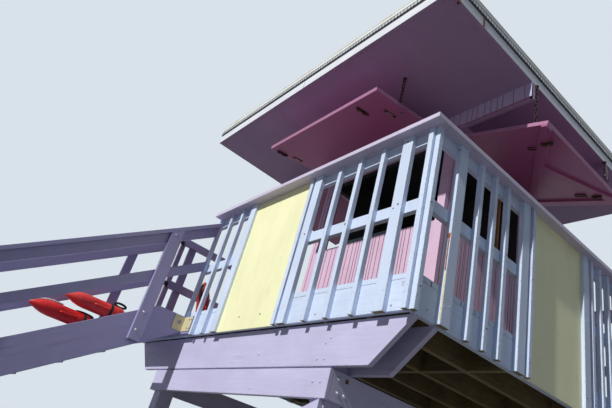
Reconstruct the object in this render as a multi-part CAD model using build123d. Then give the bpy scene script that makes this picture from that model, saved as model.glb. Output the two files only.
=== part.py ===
"""Lifeguard tower: a boarded hut on a railed timber deck, with four legs, a stair and a broad flat roof.

Millimetres, +Z up, the ground at z = 0. The pieces are first placed with x = 0 on the outer face of the
right-hand pickets and y = 0 on the outer face of the front pickets (x grows to the right, y to the rear).
Everything is then moved together so that the origin is at the bottom centre of the whole tower.
"""
from build123d import *
import math
import os

# Lumber, planed sizes: the thickness of every plank and the four widths in use
PLANK = 38.0
W4 = 89.0
W6 = 140.0
W8 = 184.0
W12 = 286.0
PLY = 12.0

# Deck, measured over the faces of its rim
DECK_WIDE = 3753.0
DECK_DEEP = 3164.0
JOIST_DEEP = 207.0
END_RIM_DEEP = 198.0
JOIST_PITCH = 400.0
FIRST_JOIST = 352.0
BLOCKING_AT = 1031.0

# Stair: the climb sets the height of the deck
RISERS = 11
RISER = 190.0
GOING = 286.0
STAIR_WIDE = 1023.0
STRINGER_OVER_NOSE = 131.0
STRINGER_LEVEL_DROP = 63.0
STRINGER_TOE = 80.0
LEDGER_DEEP = 170.0
LEDGER_DROP = 60.0
LEDGER_PAST_STAIR = 166.0
STAIR_CAP_TOP = 980.0
STAIR_MID_TOP = 538.0
NEAR_POST_WIDE = 118.0
NEAR_POST_FIRST = 407.0
FAR_POST_WIDE = 96.0
FAR_POST_FIRST = 441.0
STAIR_POST_PITCH = 1360.0

# Legs, beams and braces
LEG = 140.0
LEG_INSET = 635.0
SKID_HIGH = 140.0
SKID_PAST_DECK = 150.0
BEAM_HEEL = 15.0
BEAM_GAP = 10.0
BRACE_PLUMB = 150.0
BRACE_FOOT_GAP = 90.0
BRACE_SHY = 7.0

# Railing
RAIL_TOP = 1048.0
MID_RAIL_TOP = 520.0
LEFT_MID_RAIL_TOP = 495.0
PICKET_TAIL = 243.0
CAP_PAST_ENDS = 66.0
CAP_PAST_SIDES = 48.0
CORNER_GAP = 42.0
RIGHT_CORNER_GAP = 22.0
FRONT_FIRST_POST = 216.0
RIGHT_FIRST_POST = 250.0
PAIR_GAP = 26.0
FRONT_PANEL_WIDE = 822.0
RIGHT_PANEL_WIDE = 752.0
FRONT_LAST_BAY = 581.0
END_PICKET_SHIFT = 13.0
RIGHT_FIRST_BAY = 701.0
# How unevenly the pickets stand in each bay: clear gaps in their own proportions
FRONT_BAY_GAPS = (167, 202, 187, 200)
FRONT_LAST_GAPS = (144, 172, 189)
RIGHT_BAY_GAPS = (159, 128, 122, 178)
RIGHT_LAST_GAPS = (46, 107, 107, 112, 112, 112, 43)
REAR_LAST_GAPS = (144, 172, 170, 170, 170)
LEFT_POSTS_AT = (0.0, 154.0, 1150.0, 2150.0)

# Hut
HUT_WIDE = 1900.0
HUT_DEEP = 1450.0
WALK_FRONT = 1162.0
WALK_RIGHT = 862.0
WALL = 90.0
SIDING = 15.0
SILL = 1222.0
EAVES = 2450.0
OVER_WINDOWS = 273.0
WINDOW_JAMB = 95.0
LEFT_WINDOW_JAMB = 45.0
LEFT_WINDOW_WIDE = 815.0
LEFT_WINDOW_OPEN = 225.0
SASH_THICK = 20.0
SASH_GAP = 10.0
DOOR_WIDE = 800.0
DOOR_HIGH = 2030.0
DOOR_JAMB = 300.0
BAND_HIGH = 190.0

# Roof
ROOF_IN_LEFT = 41.0
ROOF_IN_RIGHT = 30.0
ROOF_PAST_FRONT = 73.0
ROOF_PAST_REAR = 345.0
FASCIA_HIGH = 140.0
EAVES_SHADOW = 20.0
ROOF_EDGE_HIGH = 75.0
ROOF_EDGE_OUT = 12.0

# Shutters, each a board that hangs from its window's head
SHUTTER_THICK = 40.0
FRONT_SHUTTER_LONG = 1053.0
FRONT_SHUTTER_SLOPE = 8.8
FRONT_SHUTTER_LEFT = 190.0
FRONT_SHUTTER_RIGHT = 60.0
SIDE_SHUTTER_FRONT = 35.0
RIGHT_SHUTTER_LONG = 985.0
RIGHT_SHUTTER_SLOPE = 14.8
RIGHT_SHUTTER_REAR = 40.0
LEFT_SHUTTER_LONG = 904.0
LEFT_SHUTTER_REAR = 55.0
BATTEN_THICK = 20.0
BATTEN_WIDE = 90.0
CHAIN_R = 9.0
CHAIN_INSET = 25.0
FRONT_CHAIN_OUT = 712.0
RIGHT_CHAIN_OUT = 832.0
LEFT_CHAIN_OUT = 750.0

# Stair bracket and rescue cans
BRACKET_THICK = 6.0
BRACKET_ARM = 110.0
BRACKET_HIGH = 140.0
BRACKET_LIFT = 22.0
BRACKET_HOLE_R = 20.0
CAN_R = 78.0
CAN_LONG = 640.0
CAN_REST = 0.3
CAN_TAILS_AT = ((558.0, 300.0), (286.0, 107.0))
CAN_TAIL_R = 48.0
DECK_CAN_AT = 610.0
DECK_CAN_LEAN = 15.4

# Heights worked out from the climb
DECK_TOP = RISERS * RISER
DECK_UNDER = DECK_TOP - PLANK
BEAM_TOP = DECK_UNDER - JOIST_DEEP
BEAM_LOW = BEAM_TOP - W12
CROSS_TOP = BEAM_LOW - BEAM_GAP
CROSS_LOW = CROSS_TOP - W8
SOFFIT = DECK_TOP + EAVES
HEAD = SOFFIT - OVER_WINDOWS
SLOPE = RISER / GOING
STRETCH = math.hypot(1, SLOPE)

# Plan lines worked out from the deck
RIGHT = -PLANK
LEFT = RIGHT - DECK_WIDE
FRONT = PLANK
REAR = FRONT + DECK_DEEP
OUT_LEFT = LEFT - PLANK
OUT_REAR = REAR + PLANK
STAIR_NEAR = OUT_LEFT + STAIR_WIDE
HUT_RIGHT = RIGHT - WALK_RIGHT
HUT_LEFT = HUT_RIGHT - HUT_WIDE
HUT_FRONT = FRONT + WALK_FRONT
HUT_REAR = HUT_FRONT + HUT_DEEP
LEG_RIGHT = (RIGHT - LEG_INSET - LEG, RIGHT - LEG_INSET)
LEG_LEFT = (LEFT + LEG_INSET, LEFT + LEG_INSET + LEG)

parts = {}


def keep(name, *solids):
    """File the solids of one sub-part under its name."""
    parts[name] = list(solids)


def block(x, y, z):
    """Box from three (low, high) pairs."""
    size = (x[1] - x[0], y[1] - y[0], z[1] - z[0])
    return Pos(x[0], y[0], z[0]) * Box(*size, align=(Align.MIN, Align.MIN, Align.MIN))


def prism_x(outline, x):
    """Solid with an outline of (y, z) points, run from x[0] to x[1]."""
    face = Face(Wire.make_polygon([(x[0], y, z) for y, z in outline], close=True))
    return Solid.extrude(face, Vector(x[1] - x[0], 0, 0))


def prism_y(outline, y):
    """Solid with an outline of (x, z) points, run from y[0] to y[1]."""
    face = Face(Wire.make_polygon([(x, y[0], z) for x, z in outline], close=True))
    return Solid.extrude(face, Vector(0, y[1] - y[0], 0))


def span(start, size):
    """The pair from start to start plus size."""
    return (start, start + size)


def far_side(pair):
    """The same (low, high) pair at the other end of the deck, from front to rear."""
    return (FRONT + REAR - pair[1], FRONT + REAR - pair[0])


def spread(start, end, gaps):
    """Low sides of pickets between two posts, with the given proportions of clear gap."""
    count = len(gaps) - 1
    unit = (end - start - count * PLANK) / sum(gaps)
    lows = []
    at = start
    for gap in gaps[:-1]:
        at += gap * unit
        lows.append(at)
        at += PLANK
    return lows


def make_legs():
    """Runners on the ground and the four legs that stand on them."""
    y_front = span(FRONT + 2 * PLANK, LEG)
    y_skid = (FRONT - SKID_PAST_DECK, REAR + SKID_PAST_DECK)
    keep("ground_skids", *[block(x, y_skid, (0, SKID_HIGH)) for x in (LEG_LEFT, LEG_RIGHT)])
    keep("legs", *[block(x, y, (SKID_HIGH, BEAM_TOP))
                   for x in (LEG_LEFT, LEG_RIGHT) for y in (y_front, far_side(y_front))])
    return y_front


def make_beams(y_leg):
    """Splayed beams in pairs that clamp the legs, and the lower and cross beams under them."""
    outer = (y_leg[0] - PLANK, y_leg[0])
    inner = (y_leg[1], y_leg[1] + PLANK)
    splay = [(LEFT, BEAM_TOP), (RIGHT, BEAM_TOP), (RIGHT, BEAM_TOP - BEAM_HEEL),
             (RIGHT - W12, BEAM_LOW), (LEFT + W12, BEAM_LOW), (LEFT, BEAM_TOP - BEAM_HEEL)]
    keep("upper_beams", *[prism_y(splay, y) for y in (outer, inner, far_side(inner), far_side(outer))])
    x_low = (LEG_LEFT[0] - PLANK, LEG_RIGHT[1] + PLANK)
    z_low = (CROSS_LOW, CROSS_TOP)
    keep("lower_beams", *[block(x_low, y, z_low) for y in (outer, far_side(outer))])
    y_cross = (outer[1], far_side(outer)[0])
    keep("cross_beams", *[block(x, y_cross, z_low)
                          for x in ((x_low[0], LEG_LEFT[0]), (LEG_RIGHT[1], x_low[1]))])
    foot = SKID_HIGH + BRACE_FOOT_GAP
    head_x = LEG_RIGHT[1] - BRACE_SHY
    brace = [(LEG_LEFT[0], foot), (head_x, CROSS_LOW - BRACE_PLUMB), (head_x, CROSS_LOW),
             (LEG_LEFT[0], foot + BRACE_PLUMB)]
    keep("diagonal_braces", *[prism_y(brace, y) for y in (outer, far_side(outer))])


def make_deck():
    """Rims, joists, blocking and the boards on them."""
    z = (BEAM_TOP, DECK_UNDER)
    z_end = (DECK_UNDER - END_RIM_DEEP, DECK_UNDER)
    y_in = (FRONT + PLANK, REAR - PLANK)
    keep("end_rims", *[block((LEFT, RIGHT), y, z_end) for y in (span(FRONT, PLANK), span(REAR - PLANK, PLANK))])
    keep("side_rims", *[block(x, y_in, z) for x in (span(LEFT, PLANK), span(RIGHT - PLANK, PLANK))])
    lows = []
    at = RIGHT - FIRST_JOIST - PLANK / 2
    while at > LEFT + 3 * PLANK:
        lows.append(at)
        at -= JOIST_PITCH
    keep("joists", *[block(span(x, PLANK), y_in, z) for x in lows])
    rights = [RIGHT - PLANK] + lows
    lefts = [x + PLANK for x in lows] + [LEFT + PLANK]
    y_row = span(y_in[0] + BLOCKING_AT - 2 * PLANK, PLANK)
    keep("joist_blocking", *[block((lo, hi), y, z)
                             for lo, hi in zip(lefts, rights) for y in (y_row, far_side(y_row))])
    keep("deck_boards", block((LEFT, RIGHT), (FRONT, REAR), (DECK_UNDER, DECK_TOP)))


def stair_line(height, y):
    """Height at y of a line that runs with the stair, given its height above the deck at the deck's edge."""
    return DECK_TOP + height + SLOPE * y


def stair_bar(top, deep, y, x):
    """Plank on edge that slopes with the stair, with plumb ends."""
    low = top - deep * STRETCH
    outline = [(y[0], stair_line(low, y[0])), (y[1], stair_line(low, y[1])),
               (y[1], stair_line(top, y[1])), (y[0], stair_line(top, y[0]))]
    return prism_x(outline, x)


def make_stair():
    """Stringers, treads, posts and rails of the stair, and the ledger that it hangs on."""
    toe = -GOING * (RISERS - 1) - STRINGER_TOE
    x_far = span(LEFT, PLANK)
    x_near = (STAIR_NEAR - PLANK, STAIR_NEAR)
    low = STRINGER_OVER_NOSE - W12 * STRETCH
    level = DECK_TOP - STRINGER_LEVEL_DROP
    bend = -(STRINGER_OVER_NOSE + STRINGER_LEVEL_DROP) / SLOPE
    heel = (-DECK_TOP - low) / SLOPE
    side = [(0, stair_line(low, 0)), (0, level), (bend, level), (toe, stair_line(STRINGER_OVER_NOSE, toe)),
            (toe, 0), (heel, 0)]
    keep("near_stringer", prism_x(side, x_near))
    keep("far_stringer", prism_x(side, x_far))
    keep("stair_treads", *[
        block((x_far[1], x_near[0]), (-GOING * n, -GOING * (n - 1)),
              (DECK_TOP - RISER * n - PLANK, DECK_TOP - RISER * n)) for n in range(1, RISERS)])
    keep("stair_ledger", block((LEFT, STAIR_NEAR + LEDGER_PAST_STAIR), (0, FRONT),
                               span(DECK_TOP - LEDGER_DROP - LEDGER_DEEP, LEDGER_DEEP)))
    cap_low = STAIR_CAP_TOP - PLANK * STRETCH
    run = (toe, 0)
    keep("stair_rail_cap",
         stair_bar(STAIR_CAP_TOP, PLANK, run, (STAIR_NEAR + PLANK - W4, STAIR_NEAR + PLANK)))
    keep("stair_top_rails", stair_bar(cap_low, W4, run, x_near), stair_bar(STAIR_CAP_TOP, W4, run, x_far))
    keep("stair_mid_rails", *[stair_bar(STAIR_MID_TOP, W4, run, x) for x in (x_near, x_far)])
    near = (span(STAIR_NEAR, PLANK), NEAR_POST_WIDE, NEAR_POST_FIRST, cap_low)
    far = (span(OUT_LEFT, PLANK), FAR_POST_WIDE, FAR_POST_FIRST, STAIR_CAP_TOP)
    posts = []
    for x, wide, first, top in (near, far):
        for middle in (-first, -first - STAIR_POST_PITCH, toe + wide / 2):
            y = (middle - wide / 2, middle + wide / 2)
            foot = max(0.0, stair_line(low, y[1]))
            posts.append(prism_x([(y[0], foot), (y[1], foot), (y[1], stair_line(top, y[1])),
                                  (y[0], stair_line(top, y[0]))], x))
    keep("stair_posts", *posts)


def make_bracket():
    """Cream angle plate that ties the near stringer to the ledger, with one round hole in its side arm."""
    z = span(DECK_TOP - LEDGER_DROP - LEDGER_DEEP + BRACKET_LIFT, BRACKET_HIGH)
    side = block(span(STAIR_NEAR, BRACKET_THICK), (-BRACKET_ARM, 0), z)
    hole = Cylinder(BRACKET_HOLE_R, 4 * BRACKET_THICK, rotation=(0, 90, 0))
    middle_z = (z[0] + z[1]) / 2
    side -= Pos(STAIR_NEAR, -BRACKET_ARM / 2, middle_z) * hole
    front = block((STAIR_NEAR, STAIR_NEAR + LEDGER_PAST_STAIR), (-BRACKET_THICK, 0), z)
    keep("stair_bracket", side + front)


def run_of_pickets(first, post, gaps, last, panel, last_gaps, first_bay=None, last_bay=None):
    """Low sides of the narrow pickets and of the wide ones, and the panel's (near, far) pair, along one side.

    Distances run along the side from its first corner. The bay whose length is not given takes up the rest.
    The narrow picket that edges the panel isn't in the list: it ends where the panel starts.
    """
    post_a = post
    if first_bay is None:
        post_c = last - last_bay - W4
        pair = post_c - panel - PLANK
    else:
        pair = post_a + W4 + first_bay + W4 + PAIR_GAP
        post_c = pair + PLANK + panel
    post_b = pair - PAIR_GAP - W4
    narrow = [first] + spread(post_a + W4, post_b, gaps)
    narrow += spread(post_c + W4, last, last_gaps)
    return narrow, [post_a, post_b, post_c], (pair + PLANK, post_c)


def make_railing():
    """Pickets, rails, caps and panels on the front, right and rear, and the plain railing on the left."""
    z = (DECK_TOP - PICKET_TAIL, DECK_TOP + RAIL_TOP)
    rails_z = [(DECK_TOP + top - W4, DECK_TOP + top) for top in (MID_RAIL_TOP, RAIL_TOP)]
    cap_z = span(DECK_TOP + RAIL_TOP, PLANK)
    panels = []

    # Front: distances run leftward from the right corner to the picket on the near stringer
    x_end = STAIR_NEAR - PLANK - END_PICKET_SHIFT
    narrow, wide, panel = run_of_pickets(CORNER_GAP, FRONT_FIRST_POST, FRONT_BAY_GAPS, -x_end - PLANK,
                                         FRONT_PANEL_WIDE, FRONT_LAST_GAPS, last_bay=FRONT_LAST_BAY)
    narrow.append(panel[0] - PLANK)
    pickets = [block((-at - PLANK, -at), (0, FRONT), z) for at in narrow]
    pickets += [block((-at - W4, -at), (0, FRONT), z) for at in wide]
    pickets.append(block(span(x_end, PLANK), (0, FRONT), (DECK_TOP - LEDGER_DROP, z[1])))
    keep("front_pickets", *pickets)
    panels.append(block((-panel[1], -panel[0]), (FRONT - PLY, FRONT), z))
    keep("front_rails", *[block((x_end - PLANK, RIGHT), span(FRONT, PLANK), zr) for zr in rails_z])
    y_cap = span(-CAP_PAST_ENDS, W6)
    keep("front_cap", block((x_end - END_PICKET_SHIFT, CAP_PAST_SIDES), y_cap, cap_z))

    # Right: distances run rearward from the front corner. The panel's edge picket stands on the panel.
    rear_post = OUT_REAR - RIGHT_FIRST_POST - W4
    narrow, wide, panel = run_of_pickets(RIGHT_CORNER_GAP, RIGHT_FIRST_POST, RIGHT_BAY_GAPS, rear_post,
                                         RIGHT_PANEL_WIDE, RIGHT_LAST_GAPS, first_bay=RIGHT_FIRST_BAY)
    narrow.append(OUT_REAR - RIGHT_CORNER_GAP - PLANK)
    wide.append(rear_post)
    pickets = [block((RIGHT, 0), span(at, PLANK), z) for at in narrow]
    pickets += [block((RIGHT, 0), span(at, W4), z) for at in wide]
    pickets.append(block(span(RIGHT + PLY, PLANK), (panel[0] - PLANK, panel[0]), z))
    keep("right_pickets", *pickets)
    panels.append(block(span(RIGHT, PLY), (panel[0] - PLANK, panel[1]), z))
    keep("right_rails", *[block((RIGHT - PLANK, RIGHT), (FRONT + PLANK, REAR - PLANK), zr) for zr in rails_z])
    keep("right_cap", block((CAP_PAST_SIDES - W6, CAP_PAST_SIDES), (y_cap[1], far_side(y_cap)[0]), cap_z))

    # Rear: the front's bays again, carried on to the left corner
    left_post = -OUT_LEFT - FRONT_FIRST_POST - W4
    narrow, wide, panel = run_of_pickets(CORNER_GAP, FRONT_FIRST_POST, FRONT_BAY_GAPS, left_post,
                                         FRONT_PANEL_WIDE, REAR_LAST_GAPS,
                                         first_bay=-x_end - FRONT_LAST_BAY - FRONT_PANEL_WIDE
                                         - FRONT_FIRST_POST - 3 * W4 - 2 * PLANK - PAIR_GAP)
    narrow += [panel[0] - PLANK, -OUT_LEFT - CORNER_GAP - PLANK]
    wide.append(left_post)
    pickets = [block((-at - PLANK, -at), (REAR, OUT_REAR), z) for at in narrow]
    pickets += [block((-at - W4, -at), (REAR, OUT_REAR), z) for at in wide]
    keep("rear_pickets", *pickets)
    panels.append(block((-panel[1], -panel[0]), span(REAR, PLY), z))
    keep("rear_rails", *[block((LEFT, RIGHT), (REAR - PLANK, REAR), zr) for zr in rails_z])
    keep("rear_cap", block((OUT_LEFT, CAP_PAST_SIDES), far_side(y_cap), cap_z))
    keep("railing_panels", *panels)

    # Left: two plain rails on planks that stand outside the rim
    posts = [block((OUT_LEFT, LEFT), span(at, W4), z) for at in LEFT_POSTS_AT]
    posts.append(block((OUT_LEFT, LEFT), (REAR - W4, REAR), z))
    keep("left_posts", *posts)
    left_z = (span(DECK_TOP + LEFT_MID_RAIL_TOP - W4, W4), rails_z[1])
    keep("left_rails", *[block(span(LEFT, PLANK), (0, REAR - PLANK), zr) for zr in left_z])


def left_window():
    """The (near, far) pair of the left-hand window, which has two sliding sashes."""
    return span(HUT_FRONT + WALL + LEFT_WINDOW_JAMB, LEFT_WINDOW_WIDE)


def make_hut():
    """Four walls with three windows and a doorway, and the boarded bands under the eaves."""
    z = (DECK_TOP, SOFFIT)
    window_z = (DECK_TOP + SILL, HEAD)
    x_right = (HUT_RIGHT - WALL, HUT_RIGHT)
    x_in = (HUT_LEFT, x_right[0])
    y_front = span(HUT_FRONT, WALL)
    y_rear = (HUT_REAR - WALL, HUT_REAR)
    y_in = (y_front[1], y_rear[0])
    front_wall = block(x_in, y_front, z)
    front_wall -= block((HUT_LEFT + WINDOW_JAMB, x_in[1]), y_front, window_z)
    keep("hut_front_wall", front_wall)
    right_wall = block(x_right, (HUT_FRONT, HUT_REAR), z)
    right_wall -= block(x_right, (y_front[1], HUT_REAR - WINDOW_JAMB), window_z)
    keep("hut_right_wall", right_wall)
    x_left = span(HUT_LEFT, WALL)
    left_wall = block(x_left, y_in, z)
    y_window = left_window()
    left_wall -= block(x_left, y_window, window_z)
    keep("hut_left_wall", left_wall)
    x_sash = HUT_LEFT + (WALL - SASH_GAP) / 2 - SASH_THICK
    sash_wide = LEFT_WINDOW_WIDE / 2
    lows = (y_window[1] - sash_wide, y_window[0] + LEFT_WINDOW_OPEN)
    sashes = []
    for y in lows:
        sashes.append(block(span(x_sash, SASH_THICK), span(y, sash_wide), window_z))
        x_sash += SASH_THICK + SASH_GAP
    keep("window_sashes", *sashes)
    rear_wall = block(x_in, y_rear, z)
    rear_wall -= block(span(HUT_LEFT + DOOR_JAMB, DOOR_WIDE), y_rear, span(DECK_TOP, DOOR_HIGH))
    keep("hut_rear_wall", rear_wall)

    band_z = (SOFFIT - BAND_HIGH, SOFFIT)
    x_roof = (LEFT + ROOF_IN_LEFT, RIGHT - ROOF_IN_RIGHT)
    skins = ((HUT_FRONT - SIDING, HUT_FRONT), span(HUT_REAR, SIDING))
    backs = (span(HUT_FRONT, PLANK), (HUT_REAR - PLANK, HUT_REAR))
    keep("header_bands", *[block(x_roof, y, band_z) for y in skins])
    keep("band_backings", *[block(x, y, band_z)
                            for y in backs for x in ((x_roof[0], HUT_LEFT), (HUT_RIGHT, x_roof[1]))])
    return x_roof


def make_roof(x_roof):
    """Flat roof: soffit, boxed core, fascia on four sides and the cover with its drip edge."""
    y_roof = (FRONT - ROOF_PAST_FRONT, REAR + ROOF_PAST_REAR)
    x_in = (x_roof[0] + PLANK, x_roof[1] - PLANK)
    y_in = (y_roof[0] + PLANK, y_roof[1] - PLANK)
    z_board = span(SOFFIT, FASCIA_HIGH)
    z_cover = span(z_board[1] + EAVES_SHADOW, ROOF_EDGE_HIGH)
    keep("roof_soffit", block(x_in, y_in, span(SOFFIT, PLY)))
    keep("roof_core", block(x_in, y_in, (SOFFIT + PLY, z_cover[0])))
    keep("roof_fascia_ends", *[block(x_roof, y, z_board) for y in ((y_roof[0], y_in[0]), (y_in[1], y_roof[1]))])
    keep("roof_fascia_sides", *[block(x, y_in, z_board) for x in ((x_roof[0], x_in[0]), (x_in[1], x_roof[1]))])
    keep("roof_cover", block((x_roof[0] - ROOF_EDGE_OUT, x_roof[1] + ROOF_EDGE_OUT),
                             (y_roof[0] - ROOF_EDGE_OUT, y_roof[1] + ROOF_EDGE_OUT), z_cover))


def make_shutters():
    """Top-hung shutters, propped open under the eaves on chains, with the braces on the right-hand one."""
    tilt_f = math.radians(FRONT_SHUTTER_SLOPE)
    tilt_r = math.radians(RIGHT_SHUTTER_SLOPE)
    x_f = (HUT_LEFT + FRONT_SHUTTER_LEFT, HUT_RIGHT - FRONT_SHUTTER_RIGHT)
    y_r = (HUT_FRONT + SIDE_SHUTTER_FRONT, HUT_REAR - RIGHT_SHUTTER_REAR)
    y_l = (y_r[0], left_window()[1] + LEFT_SHUTTER_REAR)
    front = Plane(origin=(x_f[0], HUT_FRONT, HEAD), x_dir=(0, -math.cos(tilt_f), -math.sin(tilt_f)),
                  z_dir=(0, -math.sin(tilt_f), math.cos(tilt_f)))
    right = Plane(origin=(HUT_RIGHT, y_r[0], HEAD), x_dir=(math.cos(tilt_r), 0, -math.sin(tilt_r)),
                  z_dir=(math.sin(tilt_r), 0, math.cos(tilt_r)))
    left = Plane(origin=(HUT_LEFT, y_l[1], HEAD), x_dir=(-math.cos(tilt_f), 0, -math.sin(tilt_f)),
                 z_dir=(-math.sin(tilt_f), 0, math.cos(tilt_f)))
    right_wide = y_r[1] - y_r[0]
    keep("front_shutter", front * block((0, FRONT_SHUTTER_LONG), (0, x_f[1] - x_f[0]), (0, SHUTTER_THICK)))
    keep("right_shutter", right * block((0, RIGHT_SHUTTER_LONG), (0, right_wide), (0, SHUTTER_THICK)))
    keep("left_shutter", left * block((0, LEFT_SHUTTER_LONG), (0, y_l[1] - y_l[0]), (0, SHUTTER_THICK)))

    # Braces under the right-hand shutter: far batten, long diagonal and the short one that meets it
    batten = block((0, RIGHT_SHUTTER_LONG), (right_wide - BATTEN_WIDE, right_wide), (-BATTEN_THICK, 0))
    corner = (RIGHT_SHUTTER_LONG, 0.0)
    heel = (BATTEN_WIDE, right_wide - BATTEN_WIDE)
    joint = ((corner[0] + heel[0]) / 2 + BATTEN_WIDE / 2, (corner[1] + heel[1]) / 2)
    far_corner = (RIGHT_SHUTTER_LONG - BATTEN_WIDE / 2, right_wide - BATTEN_WIDE)
    braces = batten + brace_bar(corner, heel) + brace_bar(joint, far_corner)
    braces &= block((BATTEN_THICK, RIGHT_SHUTTER_LONG), (0, right_wide), (-BATTEN_THICK, 0))
    keep("shutter_braces", right * braces)

    chains = []
    for x in (x_f[0] + CHAIN_INSET, x_f[1] - CHAIN_INSET):
        chains.append(chain_bar(x, HUT_FRONT - FRONT_CHAIN_OUT, chain_foot(HEAD, FRONT_CHAIN_OUT, tilt_f)))
    for x, out, tilt, y in ((HUT_RIGHT + RIGHT_CHAIN_OUT, RIGHT_CHAIN_OUT, tilt_r, y_r),
                            (HUT_LEFT - LEFT_CHAIN_OUT, LEFT_CHAIN_OUT, tilt_f, y_l)):
        for y_chain in (y[0] + CHAIN_INSET, y[1] - CHAIN_INSET):
            chains.append(chain_bar(x, y_chain, chain_foot(HEAD, out, tilt)))
    keep("shutter_chains", *chains)


def chain_foot(head, out, tilt):
    """Height of a chain's lower end, which stands on a shutter's upper face at a distance from the wall."""
    return head - out * math.tan(tilt) + SHUTTER_THICK / math.cos(tilt) + CHAIN_R * math.tan(tilt)


def brace_bar(start, end):
    """Flat bar of batten stock between two points of a shutter's own plane."""
    run = math.dist(start, end)
    turn = math.degrees(math.atan2(end[1] - start[1], end[0] - start[0]))
    bar = block((-BATTEN_WIDE, run + BATTEN_WIDE), (-BATTEN_WIDE / 2, BATTEN_WIDE / 2), (-BATTEN_THICK, 0))
    return Pos(start[0], start[1], 0) * Rot(0, 0, turn) * bar


def chain_bar(x, y, low):
    """Plain round bar that holds a chain's place between a shutter and the soffit."""
    return Pos(x, y, low) * Cylinder(CHAIN_R, SOFFIT - low, align=(Align.CENTER, Align.CENTER, Align.MIN))


def can_body():
    """Rescue can along +Z: a pointed nose, a long barrel and a blunt tail with a short neck."""
    r = CAN_R
    with BuildPart() as body:
        with BuildSketch(Plane.XZ):
            with BuildLine():
                Line((0, 0), (CAN_TAIL_R, 0))
                Line((CAN_TAIL_R, 0), (r, 0.7 * r))
                Line((r, 0.7 * r), (r, CAN_LONG - 2.6 * r))
                ThreePointArc((r, CAN_LONG - 2.6 * r), (0.76 * r, CAN_LONG - 1.2 * r), (0.2 * r, CAN_LONG))
                Line((0.2 * r, CAN_LONG), (0, CAN_LONG))
                Line((0, CAN_LONG), (0, 0))
            make_face()
        revolve(axis=Axis.Z)
    return body.part


def make_cans():
    """Two rescue cans that lie against the far stair rail and one that leans by the left railing."""
    x = LEFT + PLANK + CAN_R + CAN_REST
    cans = [Pos(x, -tail, DECK_TOP - drop) * Rot(90, 0, 0) * can_body() for tail, drop in CAN_TAILS_AT]
    foot = CAN_TAIL_R * math.sin(math.radians(DECK_CAN_LEAN)) + CAN_REST
    cans.append(Pos(x, DECK_CAN_AT, DECK_TOP + foot) * Rot(DECK_CAN_LEAN, 0, 0) * can_body())
    keep("rescue_cans", *cans)


y_front_leg = make_legs()
make_beams(y_front_leg)
make_deck()
make_stair()
make_bracket()
make_railing()
roof_span = make_hut()
make_roof(roof_span)
make_shutters()
make_cans()

box = Compound([solid for solids in parts.values() for solid in solids]).bounding_box()
home = Pos(-(box.min.X + box.max.X) / 2, -(box.min.Y + box.max.Y) / 2, 0)
print("shift", home.position, "size", box.size)
os.makedirs("parts", exist_ok=True)
for name, solids in parts.items():
    placed = [home * solid for solid in solids]
    export_step(placed[0] if len(placed) == 1 else Compound(children=placed), f"parts/{name}.step")
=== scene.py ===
"""Dresses the lifeguard tower: painted and bare timber, roof, shutters, chains, hardware and cans."""
import math

import bmesh
import bpy
import numpy as np
from mathutils import Matrix, Vector


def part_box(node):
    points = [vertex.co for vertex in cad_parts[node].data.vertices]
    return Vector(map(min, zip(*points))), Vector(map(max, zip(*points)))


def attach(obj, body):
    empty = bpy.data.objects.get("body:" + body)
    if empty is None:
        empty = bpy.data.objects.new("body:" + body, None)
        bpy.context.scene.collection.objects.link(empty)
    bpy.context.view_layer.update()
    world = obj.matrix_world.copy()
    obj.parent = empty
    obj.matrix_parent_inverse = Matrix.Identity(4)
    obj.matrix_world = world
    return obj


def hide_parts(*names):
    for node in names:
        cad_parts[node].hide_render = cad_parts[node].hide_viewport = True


bl_info = {
    "name": "Lifeguard tower",
    "version": (1, 0, 0),
    "blender": (4, 5, 0),
    "location": "3D View > Sidebar > Tower",
    "description": "Dresses the packed lifeguard tower in painted timber, hardware and rescue cans",
    "category": "Object",
}

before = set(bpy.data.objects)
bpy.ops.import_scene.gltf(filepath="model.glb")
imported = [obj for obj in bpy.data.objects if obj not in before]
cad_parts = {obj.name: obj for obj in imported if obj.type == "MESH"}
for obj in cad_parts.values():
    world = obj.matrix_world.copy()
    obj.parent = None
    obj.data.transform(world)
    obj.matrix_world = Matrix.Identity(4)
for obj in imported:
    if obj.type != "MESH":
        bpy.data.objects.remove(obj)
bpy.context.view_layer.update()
AXES = np.eye(3)
X, Y, Z = AXES

# Where the outer faces of the right and front pickets meet the ground, in the frame, m
CORNER = np.array([1.88323, -0.3095, 0.0])
# Half a board's size, m, so large that no wear comes near the edges
BROAD = (9, 9, 9)
# A can's radius against its length, both as shares, and its height as a share of its width
CAN_SHAPE = ((0, 0.02, 0.085, 0.12, 0.683, 0.77, 0.853, 0.93, 0.97, 1.0),
             (0.52, 0.66, 0.95, 1.0, 1.0, 0.93, 0.76, 0.50, 0.34, 0.12))
CAN_FLAT = 0.94
# The way the sunlight goes, its strength and tint, and the world's fill
SUN_WAY = (-0.10, 1.0, -0.78)
SUN_STRENGTH = 3.4
SUN_TINT = (1.0, 0.975, 0.94)
FILL = (0.10, 0.125, 0.175, 1.0)
# The camera's place, m, its heading, pitch and roll, degrees, and its lens, mm
CAMERA_PLACE = (3.7162, -2.2945, 0.8251)
CAMERA_TURNS = (57.7356, 29.0284, 16.3123)
CAMERA_LENS = 30.3
# The finishes by their short names, as make_finishes fills them in
FINISH = {}


def linear(text):
    """Linear RGBA of an sRGB hex colour."""
    part = np.array([int(text[i:i + 2], 16) for i in (0, 2, 4)]) / 255
    value = np.where(part <= 0.04045, part / 12.92, ((part + 0.055) / 1.055) ** 2.4)
    return (*value.tolist(), 1.0)


def length(name, description, value):
    """A length's property."""
    return bpy.props.FloatProperty(name=name, description=description, default=value, unit="LENGTH")


def paint(name, description, color):
    """A paint's property."""
    return bpy.props.FloatVectorProperty(name=name, description=description, size=4, default=linear(color),
                                         subtype="COLOR")


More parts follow.
